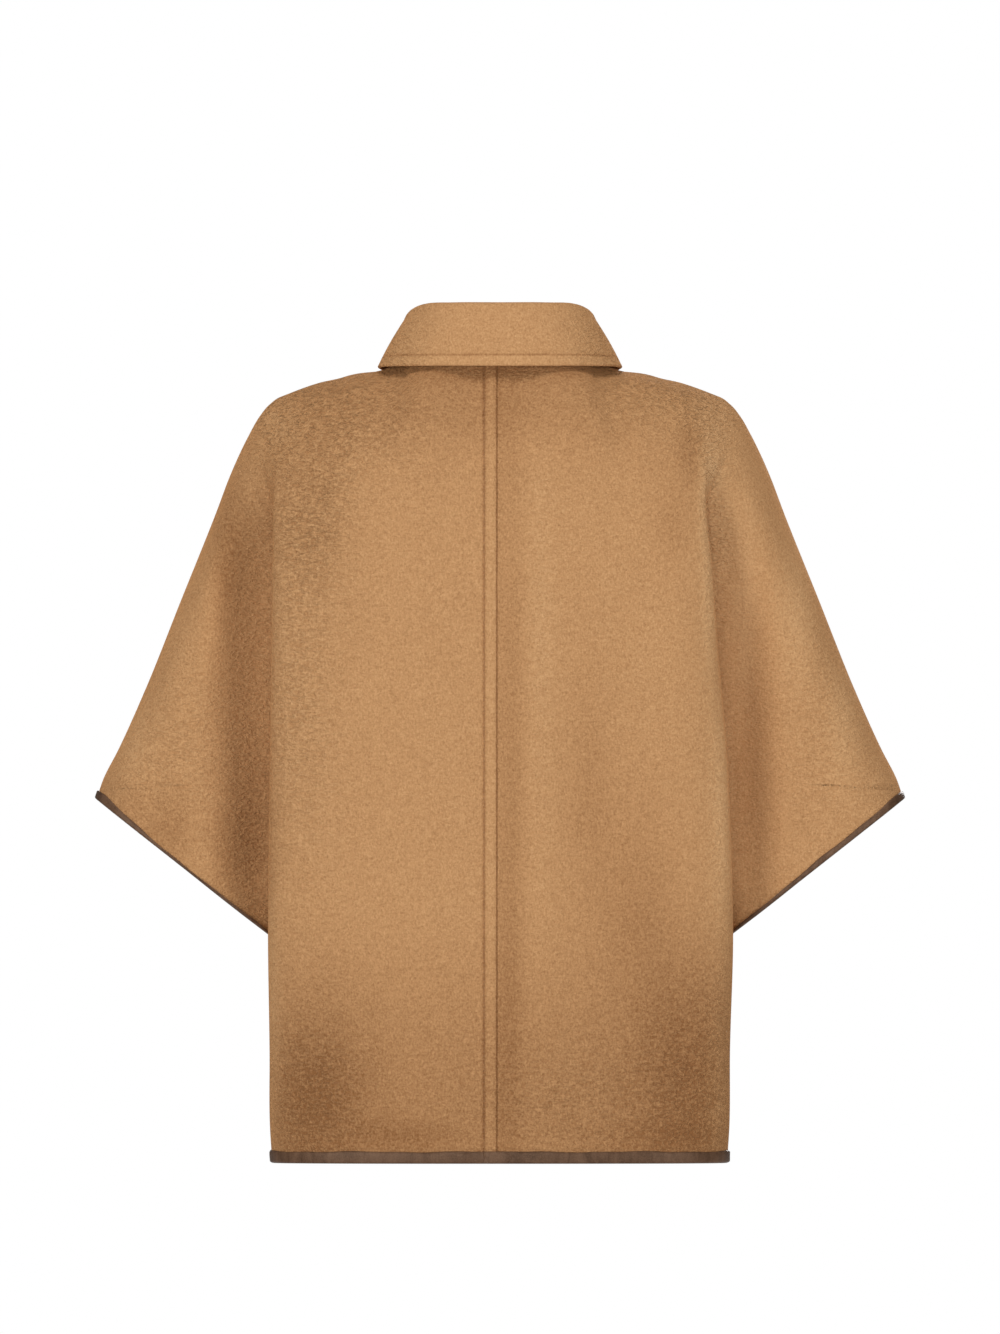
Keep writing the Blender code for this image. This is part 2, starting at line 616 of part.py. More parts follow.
def collar_points():
    """The visible side of the collar: up the stand, over the fold and down the fall."""
    arc = np.radians(np.linspace(180, 0, 5))
    lines = [("stand", 0.0), ("stand", 0.5)]
    lines += [("fold", a) for a in arc]
    lines += [("fall", t) for t in (0.25, 0.5, 0.75, 1.0)]
    turn = np.linspace(-1, 1, 4 * NECK_COLUMNS + 1)
    across = []
    for kind, t in lines:
        down = t if kind == "fall" else 0.0
        end = STAND_END + (FALL_END - STAND_END) * down
        degrees = np.clip(turn * 180.0, -end, end)
        if kind == "fall":
            degrees = turn * end
        angle, size = np.radians(degrees), np.abs(degrees)
        face = np.where(size < 90, -1.0, 1.0)
        deep = np.where(size < 90, NECK["back"]["deep"], NECK["front"]["deep"])
        ring = np.stack([NECK_HALF_WIDTH * np.sin(angle), -deep * np.cos(angle)], -1)
        way = np.stack([np.sin(angle) / NECK_HALF_WIDTH, -np.cos(angle) / deep], -1)
        way = way / np.linalg.norm(way, axis=-1, keepdims=True)
        width = np.abs(ring[:, 0])
        low = np.where(size < 90, top_at(width, "back"), top_at(width, "front")) + SEAM_GAP
        fold = through(COLLAR, 1, size) - COLLAR_FOLD_ROUND
        inside = -COLLAR_WALL
        middle = inside + COLLAR_FOLD_ROUND
        if kind == "stand":
            out = np.full(len(angle), inside)
            height = low + (fold - low) * t
        elif kind == "fold":
            out = np.full(len(angle), middle + COLLAR_FOLD_ROUND * np.cos(t))
            height = fold + COLLAR_FOLD_ROUND * np.sin(t)
        else:
            out = np.full(len(angle), middle + COLLAR_FOLD_ROUND)
            height = fold
        plan = ring + way * out[:, None]
        if kind == "fall":
            power = 2.0 / FALL_SQUARE
            depth = through(COLLAR, 2, size)
            wide = FALL_HALF_WIDTH * np.sign(angle) * np.abs(np.sin(angle)) ** power
            long = face * depth * np.abs(np.cos(angle)) ** power
            edge = np.stack([wide, long], -1)
            belly = FALL_PROUD * np.sin(np.pi * t)
            plan = plan + (edge - plan) * t + way * belly
            height = height + (through(COLLAR, 3, size) - height) * t + belly * 0.5
        across.append(np.column_stack([plan, height - HELD_HEIGHT]))
    return np.array(across).transpose(1, 0, 2)


def build():
    for old in list(bpy.data.objects):
        bpy.data.objects.remove(old)
    for side, hand in ((-1, "left"), (1, "right")):
        panels = []
        for face in ("back", "front"):
            points = panel_points(side, face)
            ways = panel_ways(side, face, points)
            shell(face + "_" + hand, points, points - ways * CLOTH, "cashmere")
            panels.append((points, ways))
        hem_binding("hem_binding_" + hand, panels)
        cuff_binding("cuff_binding_" + hand, panels, side)
    points = collar_points()
    ways = mitred(wall_ways(points, -1))
    shell("collar", points, points - ways * COLLAR_WALL, "cashmere")


build()
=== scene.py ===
# A camel cashmere jacket cut like a cape, filled out with no wearer, seen from behind.
# Heights in the dictionaries are in metres above the hem, and half widths run from the centre.
import bpy
import numpy as np
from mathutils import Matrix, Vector


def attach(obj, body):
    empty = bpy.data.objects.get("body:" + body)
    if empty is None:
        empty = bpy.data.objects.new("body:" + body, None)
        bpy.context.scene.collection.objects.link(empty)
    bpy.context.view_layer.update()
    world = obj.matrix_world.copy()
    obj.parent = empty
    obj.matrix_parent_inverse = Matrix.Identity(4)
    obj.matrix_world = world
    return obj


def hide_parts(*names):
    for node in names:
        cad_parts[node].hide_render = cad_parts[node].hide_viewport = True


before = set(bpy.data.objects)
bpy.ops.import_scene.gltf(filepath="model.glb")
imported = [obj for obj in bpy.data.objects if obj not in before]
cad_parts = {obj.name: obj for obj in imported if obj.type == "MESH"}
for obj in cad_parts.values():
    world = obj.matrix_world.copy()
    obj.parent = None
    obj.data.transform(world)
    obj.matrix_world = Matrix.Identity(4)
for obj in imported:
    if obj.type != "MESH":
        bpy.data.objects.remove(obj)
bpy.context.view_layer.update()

heldHeight = 0.713        # hem to the origin, which is the middle of the neck
seamGap = 0.0003


def through(table, column, at):
    # cubic through the rows of a table, slopes from the neighbours, held flat past its ends
    rows = np.array(table, float)
    if rows[0, 0] > rows[-1, 0]:
        rows = rows[::-1]
    x, y = rows[:, 0], rows[:, column]
    slope = np.gradient(y, x)
    at = np.clip(np.asarray(at, float), x[0], x[-1])
    i = np.clip(np.searchsorted(x, at, side="right") - 1, 0, len(x) - 2)
    width = x[i + 1] - x[i]
    t = (at - x[i]) / width
    rise = y[i + 1] - y[i]
    a = slope[i] * width - rise
    b = rise - slope[i + 1] * width
    return y[i] + t * rise + t * (1 - t) * ((1 - t) * a + t * b)


def ease(low, high, at):
    # 0 below low, 1 above high, 3t2 - 2t3 between
    t = np.clip((at - low) / (high - low), 0.0, 1.0)
    return t * t * (3.0 - 2.0 * t)


def rounded(distance, radius, power):
    # a superellipse quarter: 0 at the edge, 1 from the radius on
    t = np.clip(1.0 - distance / radius, 0.0, 1.0)
    return (1.0 - t ** power) ** (1.0 / power)


def bump(at, middle, wide):
    # a bell of height 1
    return np.exp(-((at - middle) / wide) ** 2)


def unit(vectors):
    return vectors / np.maximum(np.linalg.norm(vectors, axis=-1, keepdims=True), 1e-12)


# the jacket's cut, the same sizes that the solids were made from
cut = {
    "cloth": 0.0022,
    "hemEdge": 0.0022,                # height of the cloth's lower edge inside its leather
    "seamX": -0.0027,                 # centre back seam
    "bandWide": 0.0115,               # felled seam band on the left back
    "lap": 0.016,
    "lapShift": (0.0034, 0.0016),     # half the lap's thickness, low down and at the neck
    "lapBlend": 0.045,
    "neckHalfWidth": 0.080,
    "neckPoint": 0.723,
    "neck": {"back": (0.062, 0.735), "front": (0.074, 0.664)},     # depth, height at the centre
    "shoulderRound": {"back": 0.110, "front": 0.130},
    "shoulderPower": {"back": 1.1, "front": 1.25},
    "overarmRound": 0.055,
    "overarmLean": 0.92,
    "armpit": (0.1880, 0.2270),
    "cuffLow": (0.2052, 0.2054),
    "cuffTip": (0.3625, 0.3290),
    "cuffBand": 0.0125,
    "underarmRound": 0.040,
    "topFold": 0.1890,
    "sharpBelow": 0.560,
    "softAbove": 0.665,
    "undercut": (0.0110, 0.0060),
    "undercutHeights": (0.23, 0.36),
    "valleyRun": 0.022,
    "cuffLevels": (0.235, 0.340),
    "shoulderEnd": 10,
    "outline": (                      # half width, height
        (0.0800, 0.7230), (0.1000, 0.7155), (0.1110, 0.7120), (0.1170, 0.7114),
        (0.1260, 0.7105), (0.1350, 0.7087), (0.1440, 0.7060), (0.1620, 0.7020),
        (0.1800, 0.6960), (0.1890, 0.6925), (0.1980, 0.6890), (0.2070, 0.6826),
        (0.2160, 0.6720), (0.2250, 0.6565), (0.2340, 0.6385), (0.2430, 0.6180),
        (0.2547, 0.5870), (0.2871, 0.5060), (0.3195, 0.4250), (0.3438, 0.3710),
        (0.3575, 0.3440), (0.3625, 0.3290),
    ),
    "sideSeam": (                     # height, half width
        (0.000, 0.2050), (0.060, 0.2060), (0.120, 0.2055),
        (0.160, 0.2035), (0.195, 0.1950), (0.227, 0.1880),
    ),
    "edgeFold": (                     # height, left, right
        (0.000, 0.2048, 0.2042), (0.030, 0.2068, 0.2062),
        (0.100, 0.2072, 0.2068), (0.207, 0.2085, 0.2095),
        (0.281, 0.2080, 0.2080), (0.362, 0.2070, 0.2045), (0.455, 0.2055, 0.1965),
        (0.542, 0.2045, 0.1900), (0.596, 0.2035, 0.1850), (0.640, 0.2000, 0.1870),
        (0.690, 0.1890, 0.1890),
    ),
    "sections": {                     # height, depth at the centre, at the edge fold, of the sleeve
        "back": (
            (0.000, 0.104, 0.026, 0.040), (0.100, 0.108, 0.044, 0.044),
            (0.207, 0.111, 0.070, 0.048), (0.330, 0.114, 0.077, 0.052),
            (0.450, 0.117, 0.082, 0.056), (0.550, 0.118, 0.087, 0.064),
            (0.620, 0.117, 0.089, 0.076), (0.735, 0.116, 0.088, 0.084),
        ),
        "front": (
            (0.000, 0.106, 0.026, 0.040), (0.100, 0.111, 0.044, 0.044),
            (0.207, 0.116, 0.068, 0.048), (0.330, 0.120, 0.076, 0.052),
            (0.450, 0.124, 0.082, 0.056), (0.550, 0.124, 0.088, 0.066),
            (0.620, 0.120, 0.090, 0.078), (0.735, 0.116, 0.088, 0.084),
        ),
    },
}

# Beside the body the sleeve sinks in, then rises to its own depth.
sleeveDip = {
    "run": {-1: 0.066, 1: 0.056},
    "depth": (                        # height, left, right
        (0.200, 0.010, 0.009), (0.330, 0.024, 0.022), (0.450, 0.030, 0.019),
        (0.550, 0.020, 0.010), (0.640, 0.000, 0.000),
    ),
}

# Large folds, as in the solids, then the lesser creases that only the cloth has.
folds = {
    "back": (
        # top x, top height, foot x, foot height, half width, depth
        (0.036, 0.620, 0.034, 0.040, 0.030, 0.0030),
        (0.084, 0.400, 0.112, 0.060, 0.034, -0.0045),
        (0.160, 0.560, 0.176, 0.250, 0.032, 0.0040),
        (0.128, 0.200, 0.186, 0.000, 0.036, -0.0050),
        (-0.188, 0.660, -0.152, 0.480, 0.030, -0.0030),
        (-0.150, 0.180, -0.190, 0.000, 0.042, -0.0055),
        (-0.075, 0.520, -0.066, 0.060, 0.040, 0.0022),
        (-0.232, 0.610, -0.242, 0.400, 0.024, -0.0030),
        (0.222, 0.500, 0.226, 0.400, 0.020, -0.0025),
        (-0.300, 0.500, -0.292, 0.320, 0.034, 0.0030),
        (0.290, 0.520, 0.300, 0.330, 0.034, 0.0030),
    ),
    "front": (
        (0.062, 0.540, 0.070, 0.030, 0.034, 0.0040),
        (0.120, 0.480, 0.136, 0.040, 0.036, -0.0045),
        (-0.058, 0.520, -0.074, 0.020, 0.036, 0.0038),
        (-0.124, 0.500, -0.132, 0.060, 0.038, -0.0048),
        (0.180, 0.300, 0.182, 0.000, 0.028, 0.0030),
        (-0.176, 0.340, -0.184, 0.000, 0.030, 0.0030),
        (0.234, 0.560, 0.240, 0.400, 0.026, -0.0030),
        (-0.230, 0.600, -0.240, 0.400, 0.026, -0.0025),
        (0.296, 0.500, 0.298, 0.320, 0.034, 0.0030),
        (-0.292, 0.520, -0.300, 0.330, 0.034, 0.0030),
    ),
}
creases = {
    "back": (
        (0.020, 0.440, 0.022, 0.100, 0.010, -0.0006),
        (0.058, 0.470, 0.064, 0.180, 0.013, -0.0009),
        (0.112, 0.360, 0.132, 0.110, 0.016, 0.0010),
        (0.150, 0.240, 0.168, 0.060, 0.014, -0.0010),
        (-0.104, 0.300, -0.118, 0.080, 0.018, -0.0008),
        (-0.030, 0.380, -0.028, 0.120, 0.014, 0.0006),
        (-0.262, 0.560, -0.262, 0.350, 0.012, 0.0012),
        (0.250, 0.560, 0.256, 0.350, 0.014, 0.0010),
        (0.196, 0.650, 0.192, 0.540, 0.012, 0.0012),
        (-0.206, 0.640, -0.214, 0.520, 0.014, -0.0010),
    ),
    "front": (
        (0.030, 0.400, 0.034, 0.060, 0.012, -0.0008),
        (-0.034, 0.420, -0.036, 0.080, 0.013, -0.0007),
        (0.098, 0.420, 0.104, 0.120, 0.014, 0.0009),
        (-0.094, 0.360, -0.100, 0.090, 0.015, 0.0009),
        (0.150, 0.360, 0.160, 0.080, 0.015, -0.0010),
        (-0.152, 0.300, -0.160, 0.050, 0.016, -0.0010),
        (0.262, 0.540, 0.266, 0.350, 0.013, 0.0011),
        (-0.258, 0.560, -0.262, 0.350, 0.013, 0.0011),
    ),
}


def outlineAt(height):
    # half width of the overarm at a height, straight on below the cuff's tip
    flipped = [(h, w) for w, h in cut["outline"]]
    (w0, h0), (w1, h1) = cut["outline"][-1], cut["outline"][-4]
    below = np.minimum(height - h0, 0.0) * (w1 - w0) / (h1 - h0)
    return through(flipped, 1, height) + below


def topAt(halfWidth, face):
    # height of the top edge: neckline, then shoulder seam, straight on past its end
    neck = cut["neck"][face][1]
    share = np.clip(halfWidth / cut["neckHalfWidth"], 0.0, 1.0)
    neckline = neck + (cut["neckPoint"] - neck) * share ** 2.2
    end = cut["shoulderEnd"]
    (w0, h0), (w1, h1) = cut["outline"][end], cut["outline"][end - 2]
    beyond = np.maximum(halfWidth - w0, 0.0) * (h1 - h0) / (w1 - w0)
    shoulder = through(cut["outline"][:end + 1], 1, halfWidth) + beyond
    return np.where(halfWidth < cut["neckHalfWidth"], neckline, shoulder)


def foldDepth(x, height, rows):
    # sum of bells across, each eased in at its top and out at its foot
    moved = np.zeros(np.broadcast(x, height).shape)
    for topX, top, footX, foot, wide, depth in rows:
        along = (top - height) / (top - foot)
        middle = topX + (footX - topX) * along
        runs = ease(-0.15, 0.35, along) * (1.0 - ease(0.95, 1.45, along))
        moved = moved + depth * runs * bump(x, middle, wide)
    return moved


def panelDepth(width, height, side, face, share, sleeve, openRun):
    # depth = neck + (plateau - neck) * shoulder rounding; the plateau falls from the centre to the
    # edge fold as 1 - (1 - share^3)^(1/3), and past the valley it is the sleeve's own depth
    sections = cut["sections"][face]
    centre = through(sections, 1, height)
    edge = through(sections, 2, height)
    arm = through(sections, 3, height)
    dip = through(sleeveDip["depth"], 1 if side < 0 else 2, height)
    fold = through(cut["edgeFold"], 1 if side < 0 else 2, height)
    arm = arm - dip * (1 - ease(0.0, sleeveDip["run"][side], width - fold))
    soft = ease(cut["sharpBelow"], cut["softAbove"], height)
    turn = (1 - soft) * (1 - (1 - share ** 3) ** (1 / 3)) + soft * share ** 3
    plateau = (centre - (centre - edge) * turn) * (1 - sleeve) + arm * sleeve
    plateau = plateau + foldDepth(side * width, height, folds[face] + creases[face])
    overarm = np.maximum(outlineAt(height) - width, 0.0) * cut["overarmLean"]
    plateau = plateau * rounded(overarm, cut["overarmRound"], 2.2)
    plateau = plateau * (1 - sleeve + sleeve * rounded(openRun, cut["underarmRound"], 2.2))
    down = np.maximum(topAt(width, face) - height, 0.0)
    wide = cut["neckHalfWidth"] + 0.35 * down
    neck = cut["neck"][face][0] * np.sqrt(np.clip(1 - (width / wide) ** 2, 0.0, 1.0))
    power = cut["shoulderPower"][face]
    power = power + (2.0 - power) * ease(0.015, 0.095, width)
    return neck + (plateau - neck) * rounded(down, cut["shoulderRound"][face], power)


panelGrid = {
    "sideRows": 64, "stripRows": 6, "cuffRows": 64, "overarmRows": 92,
    "neckColumns": 30, "bodyColumns": 34, "valleyColumns": 14, "sleeveColumns": 36,
    "bandColumns": 5, "lapColumns": 10,
    "replacedColumns": 6,             # neck columns that the seam's own columns replace
    "seamStep": 0.0008,               # least step between columns beside the seam
}
bandSteps = (0.0, 0.0004, 0.0010, 0.0020, 0.0040, 0.0058, 0.0076, 0.0094, 0.0104,
             0.0110, 0.0115, 0.0120, 0.0126, 0.0134, 0.0146)


def edgeRows():
    # each row's kind, level at the centre, end on the outer edge, and step along that edge
    rows = []
    for h in np.linspace(cut["hemEdge"], cut["armpit"][1], panelGrid["sideRows"]):
        rows.append(("side", h, (float(through(cut["sideSeam"], 1, h)), h), 0.0))
    low, tip = np.array(cut["cuffLow"]), np.array(cut["cuffTip"])
    l0, l1 = cut["cuffLevels"]
    t = np.linspace(0, 1, panelGrid["cuffRows"])
    for step in 0.5 * t + 0.5 * ease(0, 1, t):
        rows.append(("cuff", l0 + (l1 - l0) * step, tuple(low + (tip - low) * step), step))
    outline = np.array(cut["outline"][cut["shoulderEnd"]:])[::-1]
    run = np.concatenate([[0], np.cumsum(np.hypot(*np.diff(outline, axis=0).T))])
    top = cut["neck"]["back"][1]
    n = panelGrid["overarmRows"]
    for i in range(1, n + 1):
        share = 1 - (1 - i / n) ** 1.35
        h = float(np.interp(share * run[-1], run, outline[:, 1]))
        rows.append(("overarm", l1 + (top - l1) * share, (float(outlineAt(h)), h), share))
    return rows


def cuffInward(step):
    # into the sleeve: up the underarm seam at the low end, up the overarm at the tip
    under = unit(np.array(cut["armpit"]) - np.array(cut["cuffLow"]))
    over = unit(np.array(cut["outline"][-4]) - np.array(cut["outline"][-1]))
    return unit(under * (1 - step) + over * step)


def bodyWidths(side, face, fold, droop):
    # half widths to the edge fold: even angles round the neck at the top, even spacing low down
    start = side * cut["seamX"] if face == "back" else 0.0
    neckWide = cut["neckHalfWidth"]
    turn = np.arange(panelGrid["neckColumns"] + 1) / panelGrid["neckColumns"]
    roundNeck = neckWide * np.sin(turn * np.pi / 2)
    lowNeck = neckWide * fold / cut["topFold"]
    even = lowNeck * turn
    neck = even + (roundNeck - even) * droop
    t = np.arange(1, panelGrid["bodyColumns"] + 1) / panelGrid["bodyColumns"]
    widths = np.concatenate([neck, neck[-1] + (fold - neck[-1]) * (1 - (1 - t) ** 1.8)])
    if face == "front":
        return np.concatenate([np.linspace(-cut["lap"], -0.001, panelGrid["lapColumns"]), widths])
    steps = start + np.array(bandSteps)
    rest = widths[panelGrid["replacedColumns"]:]
    rest = np.maximum(rest, steps[-1] + panelGrid["seamStep"] * np.arange(1, len(rest) + 1))
    return np.concatenate([steps, rest])


def panelRow(side, face, row):
    # half widths, heights, shares to the fold and shares into the sleeve of one row
    kind, level, end, step = row
    end = np.array(end)
    droop = float(ease(cut["cuffLevels"][1], cut["neck"]["back"][1], level))
    topWidths = bodyWidths(side, face, cut["topFold"], 1.0)
    drop = cut["neck"]["back"][1] - topAt(np.abs(topWidths), face)
    heights = level - droop * drop
    fold = float(through(cut["edgeFold"], 1 if side < 0 else 2, heights[-1]))
    widths = bodyWidths(side, face, fold, droop)
    soft = float(ease(cut["sharpBelow"], cut["softAbove"], heights[-1]))
    atFold = np.array((fold, heights[-1]))
    deep, shallow = cut["undercut"]
    under = deep + (shallow - deep) * float(ease(*cut["undercutHeights"], heights[-1]))
    reach = -under * (1 - soft) + cut["valleyRun"] * soft
    reach = min(reach, 0.4 * max(end[0] - fold, 0.0)) if kind == "overarm" else reach
    share = reach / (end[0] - fold) if kind == "overarm" else 0.0
    valley = atFold + np.array((reach, share * (end[1] - atFold[1])))
    v = np.arange(1, panelGrid["valleyColumns"] + 1) / panelGrid["valleyColumns"]
    s = np.arange(1, panelGrid["sleeveColumns"] + 1) / panelGrid["sleeveColumns"]
    band = np.arange(1, panelGrid["bandColumns"] + 1)[:, None] / panelGrid["bandColumns"]
    if kind == "cuff":
        last = end + cuffInward(step) * cut["cuffBand"]
        bend = 1.0 + 0.9 * step
    else:
        last = valley + (end - valley) * 0.98
        bend = 1.9
    dip = atFold + np.outer(ease(0, 1, v), valley - atFold)
    arm = valley + np.outer(1 - (1 - s) ** bend, last - valley)
    outer = np.vstack([dip, arm, last + (end - last) * band])
    widths = np.concatenate([widths, outer[:, 0]])
    heights = np.concatenate([heights, outer[:, 1]])
    if kind == "overarm" and step == 1.0:
        heights = topAt(np.abs(widths), face)
        heights[-1] = end[1]
    shares = np.clip(np.abs(widths) / fold, 0.0, 1.0)
    body, flat = len(widths) - len(outer), len(outer) - len(v)
    into = np.concatenate([np.zeros(body), ease(0, 1, v), np.ones(flat)])
    shares[into > 0] = 1.0
    return widths, heights, shares, into


def openRun(widths, heights):
    # distance from the underarm seam, along the cuff
    low = cut["cuffLow"]
    out = unit(np.array(cut["cuffTip"]) - np.array(low))
    return np.maximum((widths - low[0]) * out[0] + (heights - low[1]) * out[1], 0.0)


seamDetail = {
    "bandProud": 0.0011,        # the felled band stands this far out
    "bandPuff": 0.0004,
    "grooveDeep": 0.0009,       # stitched line on its left
    "grooveWide": 0.0009,
    "ditchDeep": 0.0012,        # the seam itself
    "ditchRound": 0.0016,
    "hemPress": 0.0013,         # the cloth is squeezed inside the leather
    "hemPuff": 0.0009,          # and swells over its edge
    "hemHigh": 0.0112,
    "stitchPitch": 0.0034,
    "paintedShadingShare": {                # painted shading at its middle: shade in the stitched line, highlight on the band, shade in the seam and beside it
        "stitched": -0.24, "band": 0.06, "seam": -0.34, "beside": -0.10,
    },
}


def seamRelief(side, face, widths, heights):
    # how far the relief moves a panel outwards: the pressed hem and the swelling over the leather,
    # then, on the back, the seam's band, groove and rolled edge from the distance to the seam
    d = seamDetail
    wander = 0.0006 * np.sin(widths * 95.0 + side) + 0.0004 * np.sin(widths * 241.0)
    high = d["hemHigh"] + wander
    pressed = d["hemPress"] * (1 - ease(-0.0012, 0.0004, heights - high))
    hem = d["hemPuff"] * bump(heights, high + 0.0026, 0.0030) * (heights > high) - pressed
    if face == "front":
        return hem
    run = widths - side * cut["seamX"]
    wave = 1 + 0.25 * np.sin(heights * 190.0) * np.sin(heights * 73.0 + 1.0)
    roll = d["ditchDeep"] * (1 - rounded(run, d["ditchRound"], 2.0))
    if side > 0:
        return hem - roll * wave
    band = d["bandProud"] * (1 - ease(cut["bandWide"] - 0.0009, cut["bandWide"] + 0.0004, run))
    puff = d["bandPuff"] * np.sin(np.pi * np.clip(run / cut["bandWide"], 0, 1)) * wave
    groove = d["grooveDeep"] * bump(run, cut["bandWide"] + 0.0002, d["grooveWide"])
    return hem + band + puff - groove - roll


def seamPaintedShading(side, widths, heights):
    # painted shade lying in the seam, darker at each stitch, and a painted highlight on the band
    run = widths - side * cut["seamX"]
    paintedShading = seamDetail["paintedShadingShare"]
    if side > 0:
        return paintedShading["seam"] * bump(run, 0.0, 0.0011) + paintedShading["beside"] * bump(run, 0.0, 0.0045)
    stitched = 0.8 + 0.2 * np.sin(heights * 2 * np.pi / seamDetail["stitchPitch"])
    line = paintedShading["stitched"] * stitched * bump(run, cut["bandWide"] + 0.0002, 0.0015)
    return line + paintedShading["band"] * bump(run, 0.0055, 0.0040) + paintedShading["seam"] * bump(run, 0.0, 0.0008)


def panelPoints(side, face):
    # outer points by rows and columns. Side rows close the body under the arm as a wall
    rows = []
    tail = panelGrid["valleyColumns"] + panelGrid["sleeveColumns"] + panelGrid["bandColumns"]
    for row in edgeRows():
        widths, heights, shares, into = panelRow(side, face, row)
        if row[0] == "side":
            body = len(widths) - tail
            fold = widths[body - 1]
            wall = np.arange(1, tail + 1) / tail
            bend = 2.0 - 1.5 * float(ease(0.0, cut["armpit"][1], row[1]))
            widths[body:] = fold + (row[2][0] - fold) * wall ** bend
            heights[body:] = row[1]
            run = np.full(len(widths), cut["underarmRound"])
            depths = panelDepth(np.abs(widths), heights, side, face, shares, 0 * into, run)
            depths[body:] = depths[body - 1] * (1 - wall)
        else:
            run = openRun(widths, heights)
            depths = panelDepth(np.abs(widths), heights, side, face, shares, into, run)
        depths = depths + seamRelief(side, face, widths, heights)
        if face == "front":
            low, top = cut["lapShift"]
            thick = low + (top - low) * ease(0.56, 0.66, heights)
            blend = 1 - ease(cut["lap"] * 1.1, cut["lap"] + cut["lapBlend"], widths)
            depths = depths + side * thick * blend
        away = -1.0 if face == "back" else 1.0
        rows.append(np.stack([side * widths, away * depths, heights - heldHeight], -1))
    points = np.array(rows)
    first, n = panelGrid["sideRows"], panelGrid["stripRows"]
    t = (np.arange(1, n + 1) / (n + 1))[:, None, None]
    strip = points[first - 1] * (1 - t) + points[first] * t
    return np.concatenate([points[:first], strip, points[first:]])


def rowKinds():
    kinds = [row[0] for row in edgeRows()]
    first = panelGrid["sideRows"]
    return np.array(kinds[:first] + ["strip"] * panelGrid["stripRows"] + kinds[first:])


def wallWays(points, flip):
    # mean of the normals of the faces round each point
    normal = np.cross(points[1:, 1:] - points[:-1, :-1], points[1:, :-1] - points[:-1, 1:])
    size = np.linalg.norm(normal, axis=-1, keepdims=True)
    normal = flip * normal / np.maximum(size, 1e-14) * (size > 1e-13)
    total = np.zeros(points.shape)
    for di in (0, 1):
        for dj in (0, 1):
            total[di:total.shape[0] - 1 + di, dj:total.shape[1] - 1 + dj] += normal
    return unit(total)


def panelWays(side, face, points):
    # ways out of the cloth, kept in the seams' planes at the edges so that panels meet
    ways = wallWays(points, side if face == "back" else -side)
    kinds = rowKinds()
    ways[kinds != "cuff", -1, 1] = 0.0
    ways[0, :, 2] = 0.0
    if face == "back":
        ways[:, 0, 0] = 0.0
    neck = np.abs(points[-1, :, 0]) >= cut["neckHalfWidth"] - 0.0005
    ways[-1, neck, 1] = 0.0
    ways[kinds == "cuff", -2] = ways[kinds == "cuff", -1]
    return unit(ways)
